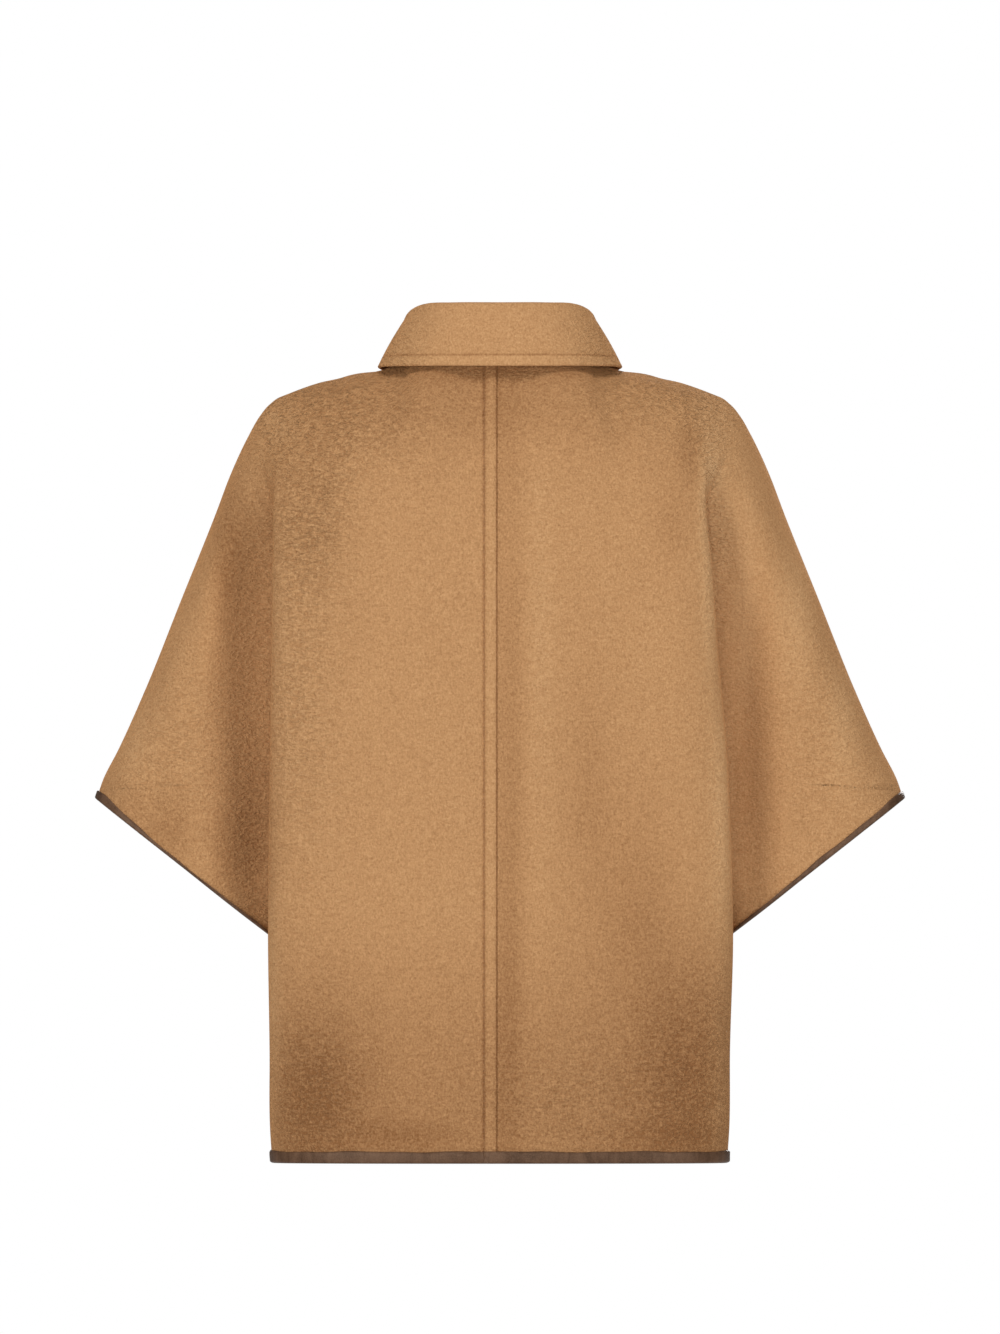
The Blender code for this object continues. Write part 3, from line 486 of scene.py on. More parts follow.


# painted shade and highlight, zone by zone, and where the nap ripples
paintedShadingAndRipple = {
    "hemPaintedShade": (-0.20, 0.05, 0.26),           # painted shade over the whole lower part: amount, full below, gone above
    "rippleBase": 0.34,
    "back": (
        # x, height, half width, half height, painted shading (shade below 0, highlight above 0), ripple
        (-0.165, 0.060, 0.045, 0.075, -0.24, 0.55),
        (-0.207, 0.100, 0.009, 0.120, 0.30, 0.20),
        (0.170, 0.090, 0.050, 0.100, -0.24, 0.30),
        (0.009, 0.170, 0.011, 0.200, -0.15, 0.00),
        (0.122, 0.240, 0.036, 0.090, -0.17, 0.00),
        (0.081, 0.330, 0.020, 0.100, -0.11, 0.00),
        (0.036, 0.480, 0.013, 0.190, 0.08, 0.20),
        (-0.240, 0.560, 0.020, 0.055, -0.26, 0.20),
        (-0.224, 0.280, 0.021, 0.085, -0.30, 0.25),
        (0.219, 0.520, 0.012, 0.080, 0.16, 0.00),
        (0.268, 0.500, 0.016, 0.070, 0.16, 0.00),
        (0.310, 0.400, 0.014, 0.060, 0.16, 0.00),
        (-0.330, 0.380, 0.014, 0.050, 0.12, 0.00),
        (-0.200, 0.665, 0.018, 0.018, 0.18, 0.30),
        (0.195, 0.665, 0.022, 0.030, 0.20, 0.30),
        (0.199, 0.320, 0.010, 0.110, 0.24, 0.20),
        (0.199, 0.560, 0.010, 0.060, 0.18, 0.40),
        (-0.172, 0.590, 0.036, 0.065, -0.12, 0.60),
        (0.155, 0.580, 0.022, 0.040, -0.10, 0.00),
        (-0.150, 0.670, 0.080, 0.050, 0.00, 0.70),
        (-0.180, 0.430, 0.040, 0.180, 0.00, 0.45),
        (0.150, 0.690, 0.080, 0.030, 0.10, 0.50),
        (0.060, 0.060, 0.110, 0.060, 0.00, 0.35),
        (-0.290, 0.380, 0.060, 0.090, 0.00, 0.35),
        (0.290, 0.400, 0.050, 0.090, 0.00, 0.25),
        # painted shadow under the collar, then painted shade over the shoulders
        (0.000, 0.716, 0.095, 0.013, -0.26, 0.20),
        (0.000, 0.690, 0.270, 0.055, -0.20, 0.10),
        (0.011, 0.450, 0.012, 0.250, -0.12, 0.00),
        (0.185, 0.600, 0.008, 0.055, 0.26, 0.30),
        (0.191, 0.622, 0.008, 0.022, 0.26, 0.30),
        (0.173, 0.640, 0.014, 0.030, -0.20, 0.20),
        (0.220, 0.455, 0.010, 0.065, 0.15, 0.00),
        (-0.248, 0.520, 0.012, 0.050, -0.14, 0.00),
        (-0.248, 0.285, 0.012, 0.035, -0.14, 0.00),
        (-0.300, 0.300, 0.022, 0.035, -0.20, 0.00),
        (-0.333, 0.325, 0.014, 0.025, -0.14, 0.00),
        (0.150, 0.024, 0.080, 0.014, -0.12, 0.10),
        (-0.085, 0.024, 0.045, 0.014, -0.16, 0.10),
        (0.188, 0.500, 0.007, 0.055, 0.22, 0.20),
        (0.200, 0.060, 0.012, 0.080, 0.18, 0.20),
    ),
    "front": (
        (-0.160, 0.060, 0.050, 0.080, -0.22, 0.40),
        (0.165, 0.070, 0.048, 0.090, -0.22, 0.45),
        (-0.205, 0.120, 0.010, 0.130, 0.22, 0.20),
        (0.204, 0.140, 0.010, 0.120, 0.24, 0.20),
        (0.224, 0.320, 0.020, 0.090, -0.24, 0.20),
        (-0.226, 0.330, 0.020, 0.080, -0.22, 0.20),
        (0.150, 0.660, 0.080, 0.050, 0.00, 0.60),
        (-0.150, 0.650, 0.085, 0.050, 0.00, 0.55),
        (0.100, 0.300, 0.030, 0.120, -0.10, 0.10),
        (-0.110, 0.260, 0.034, 0.110, -0.12, 0.10),
    ),
}


def paintedShadingAndRippleFields(points, face):
    # painted shading and ripple at points, each a sum of bells over the zones
    x, height = points[..., 0], points[..., 2] + heldHeight
    low, full, gone = paintedShadingAndRipple["hemPaintedShade"]
    paintedShading = low * (1 - ease(full, gone, height))
    ripple = np.full(x.shape, paintedShadingAndRipple["rippleBase"])
    for x0, h0, wide, high, amount, rough in paintedShadingAndRipple[face]:
        bell = np.exp(-((x - x0) / wide) ** 2 - ((height - h0) / high) ** 2)
        paintedShading = paintedShading + amount * bell
        ripple = ripple + rough * bell
    return paintedShading, np.minimum(ripple, 1.0)


def giveField(piece, name, values):
    field = piece.data.attributes.new(name, "FLOAT", "POINT")
    field.data.foreach_set("value", np.asarray(values, np.float32).ravel())


def shell(name, outer, inner, closed=False):
    # a wall between two grids of points; closed joins its last row to its first
    rows, columns = outer.shape[:2]
    count = rows * columns
    index = np.arange(count).reshape(rows, columns)
    if closed:
        index = np.vstack([index, index[:1]])
    faces = []
    for sheet, turn in ((index, 1), (index + count, -1)):
        quads = np.stack([sheet[:-1, :-1], sheet[:-1, 1:], sheet[1:, 1:], sheet[1:, :-1]], -1)
        faces.append(quads.reshape(-1, 4)[:, ::turn])
    rims = [(index[:, 0], 1), (index[:, -1], -1)]
    if not closed:
        rims += [(index[0], -1), (index[-1], 1)]
    for line, turn in rims:
        quads = np.stack([line[:-1], line[1:], line[1:] + count, line[:-1] + count], -1)
        faces.append(quads[:, ::turn])
    faces = np.concatenate(faces)
    points = np.concatenate([outer.reshape(-1, 3), inner.reshape(-1, 3)])
    a, b, c, d = (points[faces[:, i]] for i in range(4))
    volume = np.einsum("ij,ij->", np.cross(a, b), c) + np.einsum("ij,ij->", np.cross(a, c), d)
    if volume < 0:
        faces = faces[:, ::-1]
    return meshPiece(name, points, faces)


def meshPiece(name, points, faces):
    mesh = bpy.data.meshes.new(name)
    mesh.vertices.add(len(points))
    mesh.vertices.foreach_set("co", np.asarray(points, np.float32).ravel())
    size = faces.shape[1]
    mesh.loops.add(faces.size)
    mesh.loops.foreach_set("vertex_index", np.ascontiguousarray(faces, np.int32).ravel())
    mesh.polygons.add(len(faces))
    mesh.polygons.foreach_set("loop_start", np.arange(len(faces), dtype=np.int32) * size)
    mesh.update(calc_edges=True)
    mesh.validate()
    mesh.shade_smooth()
    mesh.set_sharp_from_angle(angle=np.radians(62))
    piece = bpy.data.objects.new(name, mesh)
    bpy.context.scene.collection.objects.link(piece)
    return piece


def dress(piece, material, nodes):
    piece.data.materials.append(material)
    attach(piece, "root")
    if nodes:
        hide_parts(*nodes)
    return piece


cashmere = {
    "dark": (0.235, 0.1015, 0.0356, 1.0),      # reached at painted shading -0.5
    "mid": (0.470, 0.250, 0.108, 1.0),
    "light": (0.680, 0.405, 0.196, 1.0),       # reached at painted shading +0.5
    "grainScale": 640.0,
    "grainTone": 1.0,
    "rippleScale": 330.0,
    "rippleDistort": 0.4,
    "rippleSharp": 6.0,
    "rippleMean": 0.48,
    "rippleTone": 0.26,
    "rippleBump": 1.0,
    "grainBump": 0.25,
    "cloudScale": 22.0,
    "cloudTone": 0.05,
    "rough": 0.92,
    "gloss": 0.18,
    "sheen": 0.50,
    "sheenRough": 0.45,
    "sheenTint": (1.0, 0.47, 0.18, 1.0),
}


def nodeChain(name):
    made = bpy.data.materials.new(name)
    made.use_nodes = True
    tree = made.node_tree
    shader = tree.nodes["Principled BSDF"]
    coordinates = tree.nodes.new("ShaderNodeTexCoord")
    return made, tree, shader, coordinates.outputs["Object"]


def mapped(tree, source, scale, turn=(0, 0, 0)):
    node = tree.nodes.new("ShaderNodeMapping")
    node.inputs["Scale"].default_value = scale
    node.inputs["Rotation"].default_value = turn
    tree.links.new(source, node.inputs["Vector"])
    return node.outputs["Vector"]


def noise(tree, source, scale, detail=2.0, rough=0.5, distort=0.0):
    node = tree.nodes.new("ShaderNodeTexNoise")
    node.inputs["Scale"].default_value = scale
    node.inputs["Detail"].default_value = detail
    node.inputs["Roughness"].default_value = rough
    node.inputs["Distortion"].default_value = distort
    tree.links.new(source, node.inputs["Vector"])
    return node.outputs["Fac"]


def field(tree, name):
    node = tree.nodes.new("ShaderNodeAttribute")
    node.attribute_name = name
    return node.outputs["Fac"]


def math(tree, kind, a, b):
    node = tree.nodes.new("ShaderNodeMath")
    node.operation = kind
    for socket, value in zip(node.inputs, (a, b)):
        if isinstance(value, (int, float)):
            socket.default_value = value
        else:
            tree.links.new(value, socket)
    return node.outputs[0]


def swing(tree, value, mean, amount):
    # (value - mean) * amount
    return math(tree, "MULTIPLY", math(tree, "SUBTRACT", value, mean), amount)


def total(tree, values):
    # sum of several node outputs
    made = values[0]
    for value in values[1:]:
        made = math(tree, "ADD", made, value)
    return made


def ramp(tree, source, stops):
    node = tree.nodes.new("ShaderNodeValToRGB")
    elements = node.color_ramp.elements
    while len(elements) < len(stops):
        elements.new(0.5)
    for element, (at, colour) in zip(elements, stops):
        element.position = at
        element.color = colour
    tree.links.new(source, node.inputs["Fac"])
    return node.outputs["Color"]


def bumped(tree, height, strength, distance, under=None):
    node = tree.nodes.new("ShaderNodeBump")
    if isinstance(strength, (int, float)):
        node.inputs["Strength"].default_value = strength
    else:
        tree.links.new(strength, node.inputs["Strength"])
    node.inputs["Distance"].default_value = distance
    tree.links.new(height, node.inputs["Height"])
    if under is not None:
        tree.links.new(under, node.inputs["Normal"])
    return node.outputs["Normal"]


def cashmereMaterial():
    # ramp fraction = 0.5 + painted shading (painted shade and highlight) + ripple, grain and cloud, each
    # as (value - mean) times its own amount
    c = cashmere
    made, tree, shader, place = nodeChain("camel_cashmere")
    across = mapped(tree, place, (0.48, 0.48, 1.0))         # ripples are longer across than high
    fibre = mapped(tree, place, (1.0, 1.0, 0.60))           # nap is brushed down
    swirl = noise(tree, across, c["rippleScale"], 1.0, 0.5, c["rippleDistort"])
    # a crest is where the noise crosses its middle: crest = 1 - sharpness * |noise - 0.5|, not below 0
    off = math(tree, "ABSOLUTE", math(tree, "SUBTRACT", swirl, 0.5), 0.0)
    crest = math(tree, "SUBTRACT", 1.0, math(tree, "MULTIPLY", off, c["rippleSharp"]))
    crest = math(tree, "MAXIMUM", crest, 0.0)
    grain = noise(tree, fibre, c["grainScale"], 3.0, 0.62, 0.4)
    cloud = noise(tree, place, c["cloudScale"])
    strong = field(tree, "ripple")
    rippleTone = math(tree, "MULTIPLY", swing(tree, crest, c["rippleMean"], c["rippleTone"]), strong)
    grainTone = swing(tree, grain, 0.5, c["grainTone"])
    cloudTone = swing(tree, cloud, 0.5, c["cloudTone"])
    # the painted shading field darkens the colour where shade is painted and lightens it where a highlight
    # is painted
    mixed = math(tree, "ADD", total(tree, [rippleTone, grainTone, cloudTone, field(tree, "paintedShading")]), 0.5)
    colour = ramp(tree, mixed, ((0.0, c["dark"]), (0.5, c["mid"]), (1.0, c["light"])))
    tree.links.new(colour, shader.inputs["Base Color"])
    low = bumped(tree, crest, math(tree, "MULTIPLY", strong, c["rippleBump"]), 0.0014)
    tree.links.new(bumped(tree, grain, c["grainBump"], 0.0006, low), shader.inputs["Normal"])
    shader.inputs["Roughness"].default_value = c["rough"]
    shader.inputs["Specular IOR Level"].default_value = c["gloss"]
    shader.inputs["Sheen Weight"].default_value = c["sheen"]
    shader.inputs["Sheen Roughness"].default_value = c["sheenRough"]
    shader.inputs["Sheen Tint"].default_value = c["sheenTint"]
    return made


leather = {
    "dark": (0.062, 0.030, 0.015, 1.0),
    "mid": (0.110, 0.058, 0.033, 1.0),
    "light": (0.165, 0.092, 0.054, 1.0),
    "grainScale": 900.0,
    "creaseScale": 120.0,
    "cloudScale": 34.0,
    "rough": 0.46,
    "gloss": 0.28,
    "glossTint": (1.0, 0.82, 0.66, 1.0),
}


def leatherMaterial():
    c = leather
    made, tree, shader, place = nodeChain("brown_leather")
    grain = noise(tree, place, c["grainScale"], 2.0, 0.5)
    crease = noise(tree, mapped(tree, place, (1.0, 1.0, 0.4)), c["creaseScale"], 2.0, 0.5, 0.8)
    cloud = noise(tree, place, c["cloudScale"])
    mixed = math(tree, "MULTIPLY", total(tree, [crease, grain, cloud]), 1 / 3)
    tree.links.new(ramp(tree, mixed, ((0.36, c["dark"]), (0.5, c["mid"]), (0.66, c["light"]))),
                   shader.inputs["Base Color"])
    low = bumped(tree, crease, 0.25, 0.0010)
    tree.links.new(bumped(tree, grain, 0.18, 0.0003, low), shader.inputs["Normal"])
    shader.inputs["Roughness"].default_value = c["rough"]
    shader.inputs["Specular IOR Level"].default_value = c["gloss"]
    shader.inputs["Specular Tint"].default_value = c["glossTint"]
    return made


def threadMaterial(name, colour):
    made, tree, shader, place = nodeChain(name)
    twist = noise(tree, place, 1400.0, 1.0, 0.5)
    darker = tuple(0.7 * v for v in colour[:3]) + (1.0,)
    tree.links.new(ramp(tree, twist, ((0.35, darker), (0.65, colour))), shader.inputs["Base Color"])
    shader.inputs["Roughness"].default_value = 0.65
    return made


cashmereCloth = cashmereMaterial()
brownLeather = leatherMaterial()
camelThread = threadMaterial("camel_thread", (0.36, 0.19, 0.085, 1.0))
print("materials made")


panels = {}
for side, hand in ((-1, "left"), (1, "right")):
    for face in ("back", "front"):
        node = face + "_" + hand
        points = panelPoints(side, face)
        ways = panelWays(side, face, points)
        panels[node] = (points, ways)
        piece = shell("cashmere_" + node, points, points - ways * cut["cloth"])
        dress(piece, cashmereCloth, [node])
        # painted shade and highlight from the zones, plus the seam's painted shade on the back, go onto
        # each panel with the ripple's strength
        paintedShading, ripple = paintedShadingAndRippleFields(points, face)
        if face == "back":
            paintedShading = paintedShading + seamPaintedShading(side, np.abs(points[..., 0]), points[..., 2] + heldHeight)
        giveField(piece, "paintedShading", [paintedShading, paintedShading])
        giveField(piece, "ripple", [ripple, ripple])
print("panels made")


binding = {
    "hemFlat": (0.51, 0.027),
    "cuffFlat": (0.47, 0.027),
    "leather": 0.0011,
    "ease": 0.0009,
    "high": 0.0110,
    "floor": 0.0013,
    "tuck": 0.0016,            # the top edge rolls in over this height
    "wave": 0.0005,            # unevenness of the top edge
    "cuffShows": (
        # step from the underarm seam to the tip, share of the leather outside: left, right
        (0.00, 0.22, 0.22), (0.30, 0.22, 0.36), (0.60, 0.22, 0.48), (0.80, 0.50, 0.57),
        (1.00, 0.74, 0.66),
    ),
    "wrinkleDeep": 0.0008,     # gathers where the two halves meet at the centre back
    "wrinkleWide": 0.045,
    "puff": 0.00018,
    "outsidePoints": 5,        # of the profile, before the lip
}


def bindingProfile():
    # up and over, from the outer top edge round the lip to the inner top edge; 13 points a side
    b = binding
    out = b["ease"] + b["leather"]
    half = out + cut["cloth"] / 2
    turn = np.linspace(0, np.pi, 13)
    lip = np.column_stack([half * 0.62 * (1 - np.sin(turn)), half * np.cos(turn) - cut["cloth"] / 2])
    top = np.array([(b["high"], b["ease"] * 0.2), (b["high"] - 0.0003, out * 0.72),
                    (b["high"] - 0.0012, out * 0.98), (b["high"] - 0.004, out), (b["high"] - 0.0065, out)])
    low = np.column_stack([top[::-1, 0], -top[::-1, 1] - cut["cloth"]])
    return np.concatenate([top, lip, low])


def bindingShell(name, edge, inward, ways, along, shows, closed):
    # a strip folded over an edge; its lining is the profile drawn in by the leather's thickness.
    # shows is the share of the height outside; gathers are skewed sines that fade from the centre
    b = binding
    profile = bindingProfile()
    outside = np.arange(len(profile)) < b["outsidePoints"]
    lip = profile[b["outsidePoints"], 0]
    middle = -cut["cloth"] / 2
    lining = profile.copy()
    shrink = np.maximum(np.abs(profile[:, 1] - middle) - b["leather"], cut["cloth"] / 2 + b["ease"] * 0.3)
    lining[:, 1] = middle + np.sign(profile[:, 1] - middle) * shrink
    lining[:, 0] = np.maximum(profile[:, 0], b["floor"] * 0.9)
    share = np.clip(profile[:, 0] / b["high"], 0, 1)[None, :]
    edgeWave = b["wave"] * (np.sin(along * 61.0) + 0.6 * np.sin(along * 143.0 + 1.3))[:, None]
    grids = []
    for line, swell in ((profile, 1.0), (lining, 0.0)):
        shown = (b["high"] * shows[:, None] - lip) / (b["high"] - lip)
        high = np.where(outside, lip + (line[:, 0] - lip) * shown, line[:, 0])
        up = high - cut["hemEdge"] + edgeWave * share ** 3
        puff = b["puff"] * np.sin(along * 210.0 + 2.0 * np.sin(along * 37.0))[:, None]
        sign = np.sign(line[:, 1] - middle)[None, :]
        deep = 0.0 if closed else b["wrinkleDeep"]
        near = deep * bump(edge[:, 0], cut["seamX"], b["wrinkleWide"])[:, None]
        skew = edge[:, :1] + 0.55 * high
        fade = np.sin(np.pi * np.clip(share * 0.9 + 0.1, 0, 1))
        gather = near * np.sin(skew * 560.0 + 3.0 * np.sin(skew * 97.0)) * fade
        over = line[None, :, 1] + swell * (puff * sign * np.sin(np.pi * share) + gather * outside)
        grids.append(edge[:, None] + inward[:, None] * up[..., None] + ways[:, None] * over[..., None])
    return shell(name, grids[0], grids[1], closed)


def both(back, front):
    middle = (back[-1:] + front[-1:]) / 2
    return np.concatenate([back[:-1], middle, front[-2::-1]])


def runAlong(points):
    return np.concatenate([[0], np.cumsum(np.linalg.norm(np.diff(points, axis=0), axis=-1))])


def hemBinding(hand):
    edges, inwards, ways = [], [], []
    for face in ("back", "front"):
        points, way = panels[face + "_" + hand]
        edges.append(points[0])
        inwards.append(unit(points[2] - points[0]))
        ways.append(way[0])
    edge = both(*edges)
    inward, way = unit(both(*inwards)), unit(both(*ways))
    name = "leather_hem_binding_" + hand
    return bindingShell(name, edge, inward, way, runAlong(edge), np.ones(len(edge)), False)


def cuffBinding(hand):
    kinds = rowKinds()
    steps = [row[3] for row in edgeRows() if row[0] == "cuff"]
    shows = through(binding["cuffShows"], 1 if hand == "left" else 2, steps)
    cuff = np.flatnonzero(kinds == "cuff")
    edges, inwards, ways = [], [], []
    for face in ("back", "front"):
        points, way = panels[face + "_" + hand]
        edge = points[cuff, -1]
        along = unit(np.gradient(edge, axis=0))
        up = points[cuff, -4] - edge
        up -= along * np.sum(up * along, axis=-1, keepdims=True)
        up[0] = points[cuff[0] - 1, -1] - edge[0]
        up[-1] = points[cuff[-1] + 1, -1] - edge[-1]
        edges.append(edge)
        inwards.append(unit(up))
        ways.append(way[cuff, -1])
    edge, inward, way = (both(*grid)[:-1] for grid in (edges, inwards, ways))
    for grid in (edge, inward, way):
        grid[0, 1] = 0.0
    shows = both(shows, shows)[:-1]
    name = "leather_cuff_binding_" + hand
    return bindingShell(name, edge, unit(inward), unit(way), runAlong(edge), shows, True)


for hand in ("left", "right"):
    hem = dress(hemBinding(hand), brownLeather, ["hem_binding_" + hand])
    cuff = dress(cuffBinding(hand), brownLeather, ["cuff_binding_" + hand])
print("bindings made")


collar = {
    "flat": (0.62, 0.12),
    "cutArea": 0.062,
    "wall": 0.0026,
    "foldRound": 0.0038,
    "columns": 44,               # from the centre to the shoulder
    "fallHalfWidth": 0.1080,
    "fallSquare": 2.4,
    "fallProud": 0.0012,
    "fallEnd": 152.0,
    "standEnd": 178.4,
    "topstitch": 0.0100,         # from the fall's edge
    "grooveDeep": 0.0012,
    "borderPuff": 0.0010,
    # painted shade in the topstitched groove and a painted highlight on the puffed border
    "stitchPaintedShade": -0.30,
    "borderPaintedHighlight": 0.05,
    "rippleMiddle": 0.30,        # ripple at the centre back, and what the ends have more
    "rippleEnds": 0.50,
    "standRows": 8,
    "foldRows": 11,
    "rings": (
        # degrees from the centre back, fold's height, depth of the fall's edge, its height
        (0.0, 0.7712, 0.0815, 0.7163),
        (30.0, 0.7712, 0.0815, 0.7163),
        (57.0, 0.7698, 0.0815, 0.7160),
        (75.0, 0.7640, 0.0890, 0.7155),
        (90.0, 0.7550, 0.1150, 0.7145),
        (110.0, 0.7440, 0.1390, 0.7100),
        (135.0, 0.7270, 0.1345, 0.6830),
        (160.0, 0.7110, 0.1200, 0.6520),
        (180.0, 0.7020, 0.1150, 0.6400),
    ),
}


def collarPoints():
    # stand up, half circle over the fold, fall out to a superellipse ring; the fall bellies as a sine
    c = collar
    lines = [("stand", t) for t in np.linspace(0, 1, c["standRows"] + 1)[:-1]]
    lines += [("fold", a) for a in np.radians(np.linspace(180, 0, c["foldRows"]))]
    fall = np.concatenate([np.linspace(0.04, 0.70, 16), np.linspace(0.72, 0.96, 20),
                           (0.975, 0.985, 0.993, 0.998, 1.0)])
    lines += [("fall", t) for t in fall]
    turn = np.linspace(-1, 1, 4 * c["columns"] + 1)
    across = []
    for kind, t in lines:
        down = t if kind == "fall" else 0.0
        end = c["standEnd"] + (c["fallEnd"] - c["standEnd"]) * down
        degrees = turn * end if kind == "fall" else np.clip(turn * 180.0, -end, end)
        angle, size = np.radians(degrees), np.abs(degrees)
        face = np.where(size < 90, -1.0, 1.0)
        deep = np.where(size < 90, cut["neck"]["back"][0], cut["neck"]["front"][0])
        wide = cut["neckHalfWidth"]
        ring = np.stack([wide * np.sin(angle), -deep * np.cos(angle)], -1)
        way = unit(np.stack([np.sin(angle) / wide, -np.cos(angle) / deep], -1))
        width = np.abs(ring[:, 0])
        low = np.where(size < 90, topAt(width, "back"), topAt(width, "front")) + seamGap
        fold = through(c["rings"], 1, size) - c["foldRound"]
        middle = c["foldRound"] - c["wall"]
        if kind == "stand":
            out = np.full(len(angle), -c["wall"])
            height = low + (fold - low) * t
        elif kind == "fold":
            out = np.full(len(angle), middle + c["foldRound"] * np.cos(t))
            height = fold + c["foldRound"] * np.sin(t)
        else:
            out = np.full(len(angle), middle + c["foldRound"])
            height = fold
        plan = ring + way * out[:, None]
        if kind == "fall":
            power = 2.0 / c["fallSquare"]
            depth = through(c["rings"], 2, size)
            edgeX = c["fallHalfWidth"] * np.sign(angle) * np.abs(np.sin(angle)) ** power
            edgeY = face * depth * np.abs(np.cos(angle)) ** power
            belly = c["fallProud"] * np.sin(np.pi * t)
            plan = plan + (np.stack([edgeX, edgeY], -1) - plan) * t + way * belly
            height = height + (through(c["rings"], 3, size) - height) * t + belly * 0.5
        across.append(np.column_stack([plan, height - heldHeight]))
    return np.array(across).transpose(1, 0, 2)


def collarShell():
    # a topstitched groove and a puffed, rounded border run round the fall's free edges
    c = collar
    points = collarPoints()
    ways = wallWays(points, -1)
    columns = points.shape[1]
    turned = points.transpose(1, 0, 2)[::-1]
    toEdge = runRows(turned)[::-1].T
    ends = np.minimum(runRows(points), runRows(points[::-1])[::-1])
    onFall = (np.arange(columns) >= c["standRows"] + c["foldRows"])[None, :]
    rim = np.where(onFall, np.minimum(toEdge, ends), 1.0)
    relief = -c["grooveDeep"] * bump(rim, c["topstitch"], 0.0011)
    puff = c["borderPuff"] * np.clip(np.sin(np.pi * rim / c["topstitch"]), 0, 1)
    relief += puff * (rim < c["topstitch"])
    curl = c["wall"] / 2 * (1 - rounded(rim, c["wall"] * 0.6, 2.0))
    outer = points + ways * (relief - curl)[..., None]
    inner = points - ways * (c["wall"] - curl)[..., None]
    piece = shell("cashmere_collar", outer, inner)
    # painted shade along the topstitched groove, painted highlight over the puffed border
    paintedShading = c["stitchPaintedShade"] * bump(rim, c["topstitch"], 0.0010)
    paintedShading += c["borderPaintedHighlight"] * (rim < c["topstitch"] * 0.9)
    ripple = c["rippleMiddle"] + c["rippleEnds"] * ease(0.045, 0.095, np.abs(points[..., 0]))
    giveField(piece, "paintedShading", [paintedShading, paintedShading])
    giveField(piece, "ripple", [ripple, ripple])
    return piece


def runRows(points):
    # distance from the first row, down the rows
    run = np.zeros(points.shape[:2])
    run[1:] = np.cumsum(np.linalg.norm(np.diff(points, axis=0), axis=-1), axis=0)
    return run


collarPiece = dress(collarShell(), cashmereCloth, ["collar"])
print("collar made")


stitch = {
    "pitch": 0.0034,
    "long": 0.0024,
    "thick": 0.00030,
    "sides": 5,
    "rings": 4,
    "lift": 0.0001,
    "sink": 0.0004,                  # how far each end goes into the cloth
    "column": 10,                    # the back's column in the stitched groove
    "firstRow": 2,
}


def stitchRow(name, path, ways):
    # a short capsule on every pitch of a path, its radius thick * sqrt(1 - t^6), its ends sunk as t^3
    s = stitch
    run = runAlong(path)
    centres = np.arange(s["pitch"], run[-1] - s["pitch"], s["pitch"])
    count = len(centres)
    t = np.linspace(-1, 1, s["rings"] + 2)
    at = centres[:, None] + t[None, :] * s["long"] / 2
    line = np.stack([np.interp(at, run, path[:, k]) for k in range(3)], -1)
    way = unit(np.stack([np.interp(at, run, ways[:, k]) for k in range(3)], -1))
    tangent = unit(np.gradient(line, axis=1))
    across = unit(np.cross(tangent, way))
    size = s["thick"] * np.sqrt(np.clip(1 - (0.97 * t) ** 6, 0, 1))
    lift = s["lift"] - s["sink"] * np.abs(t) ** 3
    line = line + way * lift[None, :, None]
    turn = (np.arange(s["sides"]) * 2 * np.pi / s["sides"])[None, None, :, None]
    ringWay = way[:, :, None] * np.cos(turn) + across[:, :, None] * np.sin(turn)
    points = line[:, :, None] + ringWay * size[None, :, None, None]
    rings, sides = len(t), s["sides"]
    base = (np.arange(count) * rings * sides)[:, None, None]
    i = np.arange(rings - 1)[:, None] * sides
    j = np.arange(sides)[None, :]
    k = (j + 1) % sides
    quads = np.stack([i + j, i + k, i + sides + k, i + sides + j], -1).reshape(1, -1, 4) + base
    quads = quads.reshape(-1, 4)
    start = base[:, 0] + np.arange(sides)
    caps = start[:, (-np.arange(sides)) % sides].tolist() + (start + (rings - 1) * sides).tolist()
    mesh = bpy.data.meshes.new(name)
    mesh.from_pydata(points.reshape(-1, 3).tolist(), [], quads.tolist() + caps)
    mesh.validate()
    mesh.shade_smooth()
    piece = bpy.data.objects.new(name, mesh)
    bpy.context.scene.collection.objects.link(piece)
    return piece


points, ways = (grid[stitch["firstRow"]:, stitch["column"]] for grid in panels["back_left"])
dress(stitchRow("stitches_centre_back_left", points, ways), camelThread, [])
print("stitches made")


studio = {
    "floorHeight": -1.30,
    "floorHalf": 7.0,
    "white": 0.86,
    "ambient": 0.15,
    "distance": 40.0,
    "frameHigh": 1.2006,
    "aim": -0.267,
    "softboxes": (
        # name, place, size, power
        ("left", (-2.6, -3.4, -0.15), (1.5, 1.3), 59),
        ("right", (2.6, -3.2, -0.15), (1.3, 1.2), 42),
        ("front", (-0.4, -6.5, -0.1), (1.8, 1.2), 90),
        ("top", (0.0, -0.7, 2.6), (1.6, 1.0), 40),
        ("behind", (0.9, 5.0, 1.0), (2.2, 1.8), 100),
    ),
}


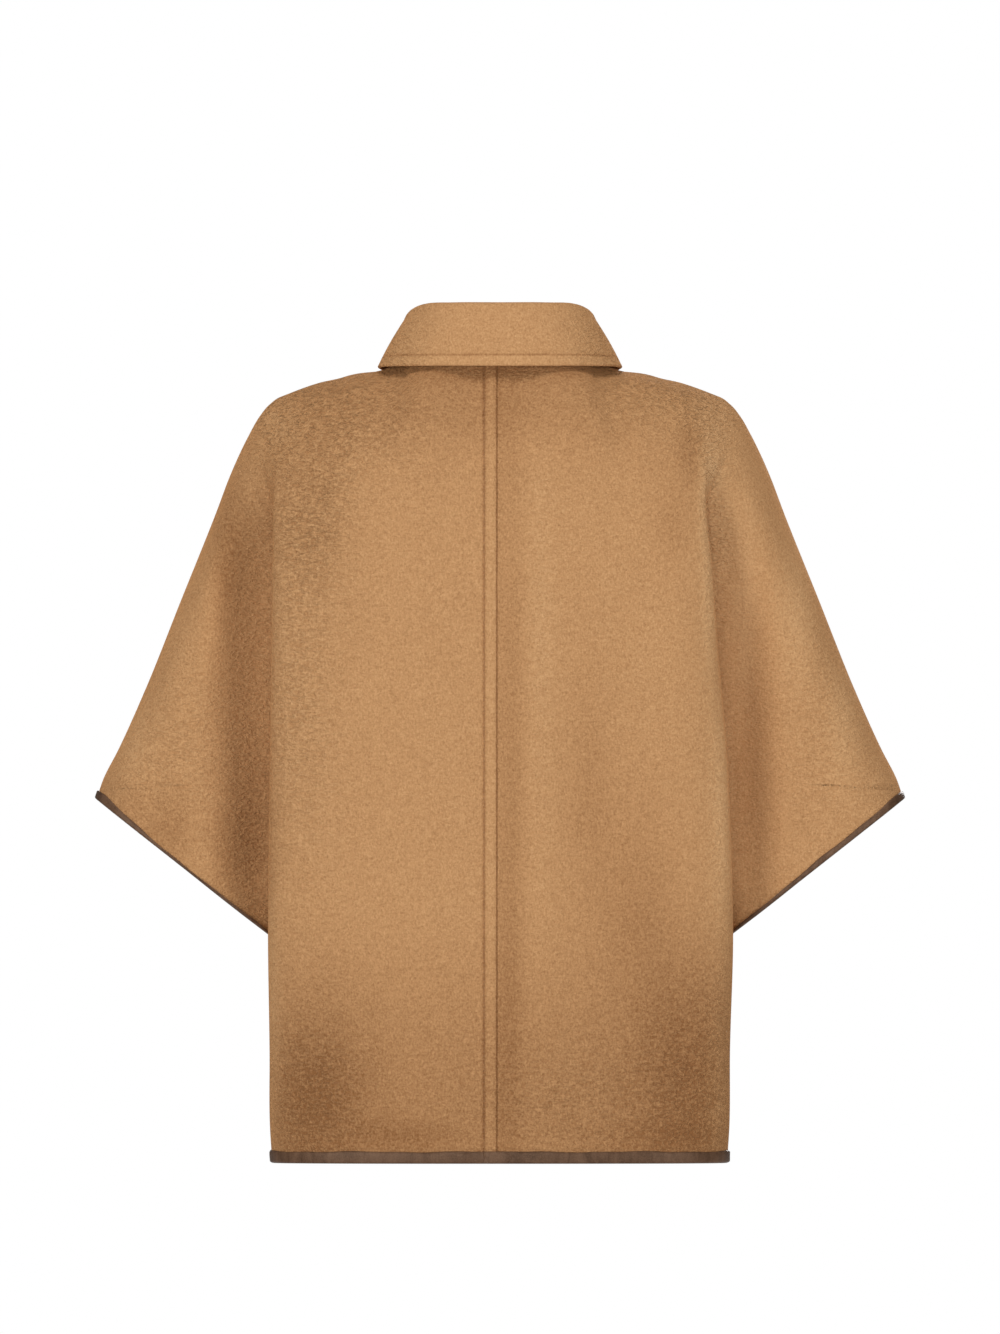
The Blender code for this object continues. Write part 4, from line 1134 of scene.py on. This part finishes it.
def floorSheet():
    half, z = studio["floorHalf"], studio["floorHeight"]
    points = np.array([(-half, -half, z), (half, -half, z), (half, half, z), (-half, half, z)])
    sheet = meshPiece("studio_floor", points, np.array([[0, 1, 2, 3]]))
    made = bpy.data.materials.new("white_floor")
    made.use_nodes = True
    shader = made.node_tree.nodes["Principled BSDF"]
    shader.inputs["Base Color"].default_value = (studio["white"],) * 3 + (1.0,)
    shader.inputs["Roughness"].default_value = 0.9
    sheet.data.materials.append(made)


def softbox(name, place, size, power):
    light = bpy.data.lights.new("softbox_" + name, "AREA")
    light.shape = "RECTANGLE"
    light.size, light.size_y = size
    light.energy = power
    lamp = bpy.data.objects.new("softbox_" + name, light)
    lamp.location = place
    aim = Vector((0, 0, studio["aim"]))
    lamp.rotation_euler = (aim - Vector(place)).to_track_quat("-Z", "Y").to_euler()
    bpy.context.scene.collection.objects.link(lamp)


floorSheet()
for box in studio["softboxes"]:
    softbox(*box)

scene = bpy.context.scene
world = bpy.data.worlds.new("studio")
scene.world = world
world.use_nodes = True
sky = world.node_tree
room = sky.nodes["Background"]                # light from the room
room.inputs["Color"].default_value = (1.0, 1.0, 1.0, 1.0)
room.inputs["Strength"].default_value = studio["ambient"]
paper = sky.nodes.new("ShaderNodeBackground")      # white paper behind the jacket
paper.inputs["Color"].default_value = (1.0, 1.0, 1.0, 1.0)
seen = sky.nodes.new("ShaderNodeLightPath")
either = sky.nodes.new("ShaderNodeMixShader")
sky.links.new(seen.outputs["Is Camera Ray"], either.inputs["Fac"])
sky.links.new(room.outputs[0], either.inputs[1])
sky.links.new(paper.outputs[0], either.inputs[2])
sky.links.new(either.outputs[0], sky.nodes["World Output"].inputs["Surface"])
scene.view_settings.view_transform = "Standard"
scene.view_settings.look = "None"

cameraData = bpy.data.cameras.new("camera")
cameraData.sensor_fit = "VERTICAL"
cameraData.sensor_height = 36.0
cameraData.lens = 18.0 / (studio["frameHigh"] / 2 / studio["distance"])
cameraData.clip_end = 60.0
camera = bpy.data.objects.new("camera", cameraData)
camera.location = (0.0, -studio["distance"], studio["aim"])
camera.rotation_euler = (np.pi / 2, 0.0, 0.0)
scene.collection.objects.link(camera)
scene.camera = camera
print("stage made")
